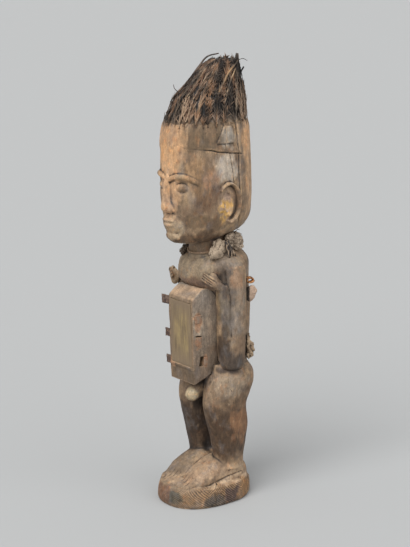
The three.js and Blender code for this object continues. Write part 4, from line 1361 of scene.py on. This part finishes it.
def crumpled(forms, voxel, crumple, deep, seed):
    """One crumpled lump of several forms: flat-sided folds pressed into it, and a rough crust over them."""
    mesh, places = remeshed(forms, voxel, 6)
    near, number = facets(places, crumple, seed)
    fold = -deep * ease(near, 0.35, 0.85) + deep * 0.8 * (number - 0.5)
    fold = relaxed(fold, edges_of(mesh), 1)
    rough = 0.5 * drift(places, 2.6, seed + 1) + 0.8 * drift(places, 6, seed + 2)
    places = places + normals_of(mesh) * (fold + rough)[:, None]
    places = relaxed(places, edges_of(mesh), 1, 0.3)
    move_to(mesh, places)
    return mesh


def dress_lump(mesh, tone, low, seed, shadow_side=None):
    """Stores the tones of a crumpled lump, with painted shade and grime in its folds and, if asked, a painted
    shadow on its side towards the body.
    """
    places = places_of(mesh)
    cloud = np.clip(0.5 + drift(places, 9, seed) * 0.8, 0, 1)
    tones = toned(np.tile(np.array(low, float), (len(places), 1)), tone, 0.35 + 0.65 * cloud)
    fine = hollows_of(mesh, places, 3)
    # Painted shade and grime in the folds, paler on the ridges
    tones = toned(tones, (26, 20, 16), 0.85 * ease(fine, 0.02, 0.4))
    tones = toned(tones, (204, 190, 168), 0.4 * ease(-fine, 0.05, 0.4))
    # Painted shadow: the side towards the body darkened
    if shadow_side:
        outward = places @ TO_BACK_LEFT + 0.8 * drift(places, 5, seed + 1)
        tones = toned(tones, (34, 27, 22), 0.95 * ease(outward, shadow_side + 1.5, shadow_side - 1.5))
    store_on(mesh, "patina_and_painted_light", linear(np.clip(tones, DARKEST, PALEST)))


def wisp(start, end, sag, half, seed):
    """One loose fibre from start to end, bent by its sag."""
    start, end, sag = Vector(start), Vector(end), Vector(sag)
    rings = []
    for step in range(6):
        share = step / 5
        spot = start.lerp(end, share) + sag * (4 * share * (1 - share))
        spot.x += 0.8 * sin(seed * 2.3 + step * 1.7)
        spot.z += 0.8 * cos(seed * 1.9 + step * 2.1)
        rings.append(ring(*spot, half * (1 - 0.6 * share)))
    return skin(rings, sides=4, rows=10, across=(0.3, 0.2, 1), follow=True)


for number, (name, ((crumple, deep, tone, low), lumps)) in enumerate(PACKETS.items()):
    forms = [pebble(middle, [half + 0.6 for half in halves]) for middle, halves in lumps]
    lump = crumpled(forms, PACKET_VOXEL, crumple, deep, 130 + 10 * number)
    dress_lump(lump, tone, low, 134 + 10 * number)
    put_in_place(name + "_crusted", lump, cloth_crust, [name])

WISPS = (
    ((-44, -22, 514), (-50, -24, 503), (-1, 0, 1)),
    ((-46, -14, 517), (-52, -10, 508), (-1, 0, 1)),
    ((54, -14, 512), (59, -16, 504), (1, 0, 1)),
    ((50, -24, 516), (58, -30, 504), (1, -2, 4)),
    ((44, 40, 550), (56, 46, 556), (3, 0, 4)),
    ((30, 60, 540), (30, 72, 536), (0, 4, 4)),
    ((50, 48, 520), (62, 52, 508), (3, 0, 3)),
    ((54, 30, 540), (62, 26, 546), (2, 0, 3)),
    ((40, 2, 541), (50, -6, 548), (2, 0, 3)),
)
dark_fibre = bark_fibre("dark_fibre", (52, 40, 32), (112, 92, 72))
wisp_mesh = mesh_of([wisp(start, end, sag, 0.75, k) for k, (start, end, sag) in enumerate(WISPS)])
put_in_place("neck_loose_fibres", wisp_mesh, dark_fibre)

# Neck quills. Three cut and banded quills tucked between the two left packets, their cut ends down.
QUILLS = (
    ((53, 12, 538), (62, 15, 506)),
    ((50, 20, 539), (61, 23, 504)),
    ((52, 16, 536), (61, 31, 507)),
)


def banded_quill():
    material, shader, places = recipe("banded_quill")
    band_of_tone = noise(places, 420, (1, 1, 0.12), 2, 0.5)
    colour = blend(range_of(band_of_tone, 0.5, 0.56), (38, 30, 26), (142, 122, 100))
    feed(shader, {"Base Color": colour, "Roughness": 0.55})
    bumped(shader, band_of_tone, 0.0004, 0.4)
    return material


quill_forms = []
for start, end in QUILLS:
    middle = [(a + b) / 2 for a, b in zip(start, end)]
    rings = [ring(*start, 2.2), ring(*middle, 2.8), ring(*end, 1.7)]
    quill_forms.append(skin(rings, sides=14, rows=14, follow=True))
put_in_place("neck_quill_bundle", mesh_of(quill_forms), banded_quill(), ["neck_quills"])

# Back ring. Copper wire wound into a small close coil and pinned to the corner of the back.
COIL_AT = Vector((71, 59, 457))
COIL_RADIUS = 6.6
COIL_WIRE = 1.9
COIL_TURN = radians(-22)
COIL_TURNS = 3
COIL_STEPS = 96


def copper():
    material, shader, places = recipe("copper_wire")
    tarnish = noise(places, 320, (1, 1, 1), 4, 0.6)
    colour = blend(range_of(tarnish, 0.42, 0.62), (206, 146, 96), (104, 72, 50))
    rough = range_of(tarnish, 0.4, 0.65, 0.28, 0.55)
    feed(shader, {"Base Color": colour, "Metallic": 0.85, "Roughness": rough})
    return material


coil_rings = []
for step in range(COIL_STEPS + 1):
    share = step / COIL_STEPS
    turn = 2 * pi * COIL_TURNS * share
    spot = Vector(((share - 0.5) * 2.1 * COIL_WIRE * COIL_TURNS, 0, 0))
    spot += Vector((0, cos(turn) * COIL_RADIUS, sin(turn) * COIL_RADIUS * 0.66))
    spot.rotate(Euler((0, 0, COIL_TURN)))
    coil_rings.append(ring(*(spot + COIL_AT), COIL_WIRE))
coil_mesh = mesh_of([skin(coil_rings, sides=10, rows=COIL_STEPS, across=(0.83, -0.56, 0), follow=True)])
put_in_place("copper_coil", coil_mesh, copper(), ["back_ring"])

# Back packets. Under the ring hangs a flat seed pod with its tied end up, and lower down a folded leaf bundle
# with one loose fold. Both are dry, pale and crusted like the neck packets.
POD_TURN = radians(68)
BUNDLE_TURN = radians(52)
pod_lean = (0, radians(14), POD_TURN)
pod = crumpled(
    [pebble((73, 59, 430), (11.6, 6.6, 17.6), pod_lean), pebble((74, 61, 436), (12.6, 5.6, 8.6), pod_lean)],
    0.8, 9, 0.9, 161,
)
# Its side towards the body gets a painted shadow
dress_lump(pod, (182, 156, 136), (146, 122, 104), 162, 89.5)
put_in_place("back_seed_pod", pod, cloth_crust, ["back_packet_upper"])


def bundle_part(middle, halves, tip):
    return pebble(middle, halves, (0, radians(tip), BUNDLE_TURN))


bundle = crumpled(
    [
        bundle_part((67, 63, 313), (11.6, 8.6, 20.6), 4),
        bundle_part((69, 60, 320), (8, 6, 13), -12),
        bundle_part((64, 61, 337), (5.4, 3, 12), 4),
    ],
    0.8, 10, 2.2, 171,
)
places = places_of(bundle)
fold = np.sin((places[:, 2] * 0.75 + places @ TO_BACK_LEFT * 1.1) / 2.1 + 1.5 * drift(places, 9, 174))
move_to(bundle, places + normals_of(bundle) * (1.1 * fold - 0.6)[:, None])
# Its side towards the body gets a painted shadow
dress_lump(bundle, (180, 156, 128), (112, 92, 74), 172, 85.5)
put_in_place("back_leaf_bundle", bundle, cloth_crust, ["back_packet_lower"])

# Feather crest. Long narrow tail feathers are stuck in rings into the resin of the crown and over its edge.
# Dry and dusty, they are pressed into one dense mass that sweeps up and back to a blunt ragged top, and
# their vanes have split into clumps of barbs on both sides of the quills.
FEATHER_TOP = 898
CREST_RINGS = [
    ring(0, 3, 768, 63, 83, 87, 2.35),
    ring(0, 4, 775, 62, 84, 86, 2.3),
    ring(0, 9, 790, 58, 79, 79, 2.25),
    ring(0, 14, 812, 54, 75, 73, 2.2),
    ring(1, 23, 836, 45, 62, 61),
    ring(2, 29, 854, 37, 51, 50),
    ring(3, 33, 866, 32, 44, 43),
    ring(4, 38, 877, 27, 36, 36),
    ring(5, 43, 884, 20, 26, 28),
    ring(6, 46, 887, 8, 11, 12),
]
# Each ring of feathers: how many, the shares of the crest where they start and end, how far out they lie,
# half a feather's width, and how far their tips stand past the mass
FEATHER_ROWS = (
    (34, (0.0, 0.06), (0.4, 0.6), 0.4, 6.4, (0, 3)),
    (26, (0.06, 0.2), (0.6, 0.8), 1.4, 6.4, (2, 7)),
    (22, (0.22, 0.42), (0.78, 0.9), 2.0, 5.8, (4, 10)),
    (12, (0.5, 0.66), (0.84, 0.92), 1.4, 4.8, (3, 8)),
)
FEATHER_TONES = (
    (134, 112, 96), (154, 134, 116), (172, 152, 134), (108, 86, 72), (158, 126, 98), (136, 124, 114)
)
QUILL_TONES = ((192, 170, 144), (150, 118, 90), (206, 190, 168), (116, 86, 64))
# Resin and painted shade for the dark inner mass of the crest
CORE_SHADE_TONE = (32, 25, 21)
BARB_STEP = 7.4
PATH_STEPS = 9

# Single quills and barbs that stand out of the mass: their points, half thickness and colour
LOOSE_QUILLS = (
    (((-21, -31, 832), (-17, -17, 853), (-13, -1, 874), (-9, 15, 891), (-3, 38, 896.5)), 3.0, (88, 78, 74)),
    (((47, 0, 828), (41, 27, 862), (30, 56, 880), (21, 66, 885)), 2.3, (176, 150, 116)),
    (((50, 12, 812), (46, 28, 846), (37, 46, 866), (30, 56, 874)), 1.7, (190, 170, 142)),
    (((44, -24, 812), (36, -4, 846), (28, 16, 868), (22, 30, 880)), 1.8, (96, 68, 52)),
    (((14, -56, 804), (9, -42, 832), (4, -20, 858), (2, -2, 876)), 2.4, (116, 74, 52)),
    (((30, -44, 804), (24, -32, 834), (16, -12, 860), (12, 6, 878)), 1.6, (128, 92, 68)),
    (((17, 67, 866), (18, 67, 880), (18, 67, 891), (18, 67, 896.5)), 5, (168, 138, 108)),
    (((18, 72, 884), (22, 79, 886), (28, 85, 882)), 0.7, (96, 78, 66)),
    (((20, 66, 848), (24, 71, 860), (28, 76, 871)), 2.2, (48, 38, 34)),
    (((-16, -50, 826), (-17, -58, 833), (-18, -60, 841)), 0.8, (70, 58, 50)),
)


def spike(form, start, towards, flat, width, long, thick=0.7):
    """One thin barb or length of quill, from its root at start."""
    along = towards.normalized()
    side = along.cross(flat).normalized()
    up = side.cross(along)
    place = Matrix((side, up, along)).transposed().to_4x4()
    place.translation = start + along * (long / 2)
    shape = place @ Matrix.Diagonal((width / 2, thick / 2, 1, 1))
    bmesh.ops.create_cone(form, cap_ends=True, segments=4, radius1=1, radius2=0.22, depth=long, matrix=shape)


def on_crest(turns, shares, out):
    """Points of the pressed mass of feathers, moved out of it by some millimetres."""
    return along_rings(turns, shares, CREST_RINGS, swell=out)


def feather(path, flats, half, spread, bare, chance):
    """A feather along a path of points: its quill, bare for its first steps, and both vanes in clumps."""
    quill, vanes = bmesh.new(), bmesh.new()
    for step, (start, end) in enumerate(zip(path, path[1:])):
        width = 2.4 - 1.3 * step / len(path)
        run = end - start
        spike(quill, start - run * 0.1, run, flats[step], width, run.length * 1.25, 1.6)
    long = sum((end - start).length for start, end in zip(path, path[1:]))
    count = max(3, int(long / BARB_STEP))
    for step in range(count):
        share = (step + 0.3 + 0.5 * chance.random()) / count
        place = bare + share * (len(path) - 1 - bare)
        first = min(int(place), len(path) - 2)
        start = path[first].lerp(path[first + 1], place - first)
        along = (path[first + 1] - path[first]).normalized()
        flat = flats[first]
        aside = along.cross(flat).normalized()
        for side in SIDES:
            if chance.random() < 0.1:
                continue
            lean = (0.42 + 0.34 * chance.random()) * spread
            lift = 0.16 * (chance.random() - 0.3)
            towards = along + aside * side * lean + flat * lift
            reach = half * (1.9 + 0.9 * chance.random()) * (1.1 - 0.45 * share)
            spike(vanes, start - flat * 0.4, towards, flat, 2.8 + 2.4 * chance.random(), reach)
    return quill, vanes


def crest_core():
    """The inner mass, grooved by the feathers pressed into it, dark with resin and painted shade."""
    mesh = mesh_of([skin(CREST_RINGS, sides=180, rows=90, swell=-2.2)])
    places = places_of(mesh)
    turn = np.arctan2(places[:, 1] - 20, places[:, 0])
    groove = np.sin(turn * 44 + 3 * drift(places, 30, 201)) * ease(places[:, 2], 760, 775)
    moved = 0.9 * groove + 1.4 * drift(places, (9, 9, 26), 202)
    places = places + normals_of(mesh) * moved[:, None]
    places[:, 2] -= 5 * ease(drift(places, (5, 5, 40), 205), -0.1, 0.6) * ease(places[:, 2], 778, 768)
    move_to(mesh, places)
    core = bmesh.new()
    core.from_mesh(mesh)
    return core


def crest_feathers():
    """Every feather's form and tone, row by row."""
    chance = np.random.default_rng(7)
    made = [(crest_core(), CORE_SHADE_TONE)]
    for count, start, end, out, half, past in FEATHER_ROWS:
        for number in range(count):
            turn = 2 * pi * (number + 0.7 * (chance.random() - 0.5)) / count
            shares = np.linspace(chance.uniform(*start), chance.uniform(*end), PATH_STEPS)
            calm = 0.25 if sin(turn + 0.35) < -0.3 else 1
            turns = turn + 0.3 * calm * float(chance.normal(0, 1)) * np.linspace(0, 1, PATH_STEPS) ** 1.5
            bow = np.sin(np.linspace(0, pi, PATH_STEPS))
            lift = out + 1.5 * chance.random() + chance.uniform(-1, 1.6) * bow
            near = on_crest(turns, shares, 0)
            away = on_crest(turns, shares, 4) - near
            away /= np.linalg.norm(away, axis=1)[:, None]
            path = [Vector(spot) for spot in near + away * lift[:, None]]
            flats = [Vector(spot) for spot in away]
            bare = int(start[0] == 0)
            if bare:
                path.insert(0, path[0] + flats[0] * 1.2 - Vector((0, 0, 3 + 9 * chance.random() ** 2)))
                flats.insert(0, flats[0])
            ahead = chance.uniform(*past) * (0.35 if sin(turn) < -0.2 else 1)
            path.append(path[-1] + (path[-1] - path[-3]).normalized() * ahead)
            path[-1].z = min(path[-1].z, FEATHER_TOP - 3 - 10 * chance.random())
            flats.append(flats[-1])
            wide, spread = half * chance.uniform(0.8, 1.2), 0.3 + 0.7 * calm
            quill, vanes = feather(path, flats, wide, spread, bare, chance)
            made.append((quill, QUILL_TONES[int(chance.integers(len(QUILL_TONES)))]))
            made.append((vanes, FEATHER_TONES[int(chance.integers(len(FEATHER_TONES)))]))
    for points, half, tone in LOOSE_QUILLS:
        rings = [ring(*spot, half * (1 - 0.15 * k)) for k, spot in enumerate(points)]
        made.append((skin(rings, sides=8, rows=4 * len(points), across=(0.8, 0.6, 0.1), follow=True), tone))
    return made


def dusty_feather():
    material, shader, places = recipe("dusty_feather")
    patina_and_painted_light = stored(shader, "patina_and_painted_light")
    dust = noise(places, 90, (1, 1, 0.4), 5, 0.7)
    colour = layer(patina_and_painted_light, dust, 0.52, 0.75, 0.4, (166, 148, 130))
    colour = layer(colour, dust, 0.44, 0.3, 0.45, (34, 26, 21))
    strand = noise(places, 700, (1, 1, 0.2), 3, 0.6)
    colour = layer(colour, strand, 0.52, 0.7, 0.25, (46, 36, 30))
    feed(shader, {"Base Color": colour, "Roughness": 0.6})
    bumped(shader, strand, 0.0005, 0.5)
    return material


grown = crest_feathers()
counts = [len(form.verts) for form, _ in grown]
crest_mesh = mesh_of([form for form, _ in grown])
tones = np.repeat(np.array([tone for _, tone in grown], float), counts, axis=0)
places = places_of(crest_mesh)
height, outward = places[:, 2], places @ TO_BACK_LEFT
tones *= (0.28 + 0.66 * ease(drift(places, (8, 8, 34), 203), -0.4, 0.4))[:, None] * (1.0, 0.93, 0.86)
base = ease(height, 790, 772) * (0.85 + 0.15 * ease(outward, -20, 30))
base *= ease(drift(places, (4, 4, 30), 206), -0.9, -0.2)
tones = toned(tones, (122, 102, 82), base * ease(tones[:, 0], 60, 30))
pale_roots = ease(outward, 25, 60) * ease(height, 850, 800) * ease(tones[:, 0], 40, 60)
tones = toned(tones, (164, 146, 128), 0.4 * pale_roots)
# Painted shade darkens a patch at the back left of the crest
tones *= 1 - 0.6 * ragged_spot(places, (24, 64, 862), (17, 17, 17), 0.3, 204)[:, None]
store_on(crest_mesh, "patina_and_painted_light", linear(np.clip(tones, DARKEST, PALEST)))
put_in_place("crest_feathers", crest_mesh, dusty_feather(), ["feather_crest"])

# Studio. A pale paper floor runs far back under a plain pale sky, and large soft lights stand to the left of
# the camera and overhead, so that shadows are faint.
FLOOR_REACH = 60
PAPER_TONE = (176, 177, 177)
SKY_TONE = (196, 197, 197)
SKY_ABOVE = (146, 147, 148)

paper_form = bmesh.new()
bmesh.ops.create_grid(paper_form, x_segments=8, y_segments=8, size=FLOOR_REACH)
paper_mesh = bpy.data.meshes.new("paper_floor")
paper_form.to_mesh(paper_mesh)
paper_form.free()
paper, paper_shader, _ = recipe("pale_paper")
feed(paper_shader, {"Base Color": paint(PAPER_TONE), "Roughness": 1.0, "Specular IOR Level": 0.0})
paper_mesh.materials.append(paper)
paper_floor = in_scene("paper_floor", paper_mesh)

sky = bpy.data.worlds.new("studio")
sky.use_nodes = True
upward = sky.node_tree.nodes.new("ShaderNodeTexCoord").outputs["Generated"]
height = node("SeparateXYZ", {"Vector": upward}).outputs["Z"]
shade = blend(range_of(height, 0.12, 0.5), SKY_TONE, SKY_ABOVE)
feed(sky.node_tree.nodes["Background"], {"Color": shade, "Strength": 1.0})
bpy.context.scene.world = sky

camera_left = Vector((-cos(CAMERA_TURN), -sin(CAMERA_TURN), 0))
to_camera = -into_picture
LIGHTS = (
    ("key_softbox", camera_left * 0.5 + to_camera * 0.85 + Vector((0, 0, 0.95)), 2.6, 42),
    ("top_softbox", camera_left * 0.1 + to_camera * 0.3 + Vector((0, 0, 1.6)), 0.9, 80),
    ("fill_softbox", camera_left * -0.8 + to_camera * 0.6 + Vector((0, 0, 0.4)), 0.9, 60),
)
for name, towards, strength, spread in LIGHTS:
    softbox = bpy.data.lights.new(name, "SUN")
    softbox.energy = strength
    softbox.angle = radians(spread)
    stand = in_scene(name, softbox)
    stand.rotation_euler = towards.to_track_quat("Z", "Y").to_euler()
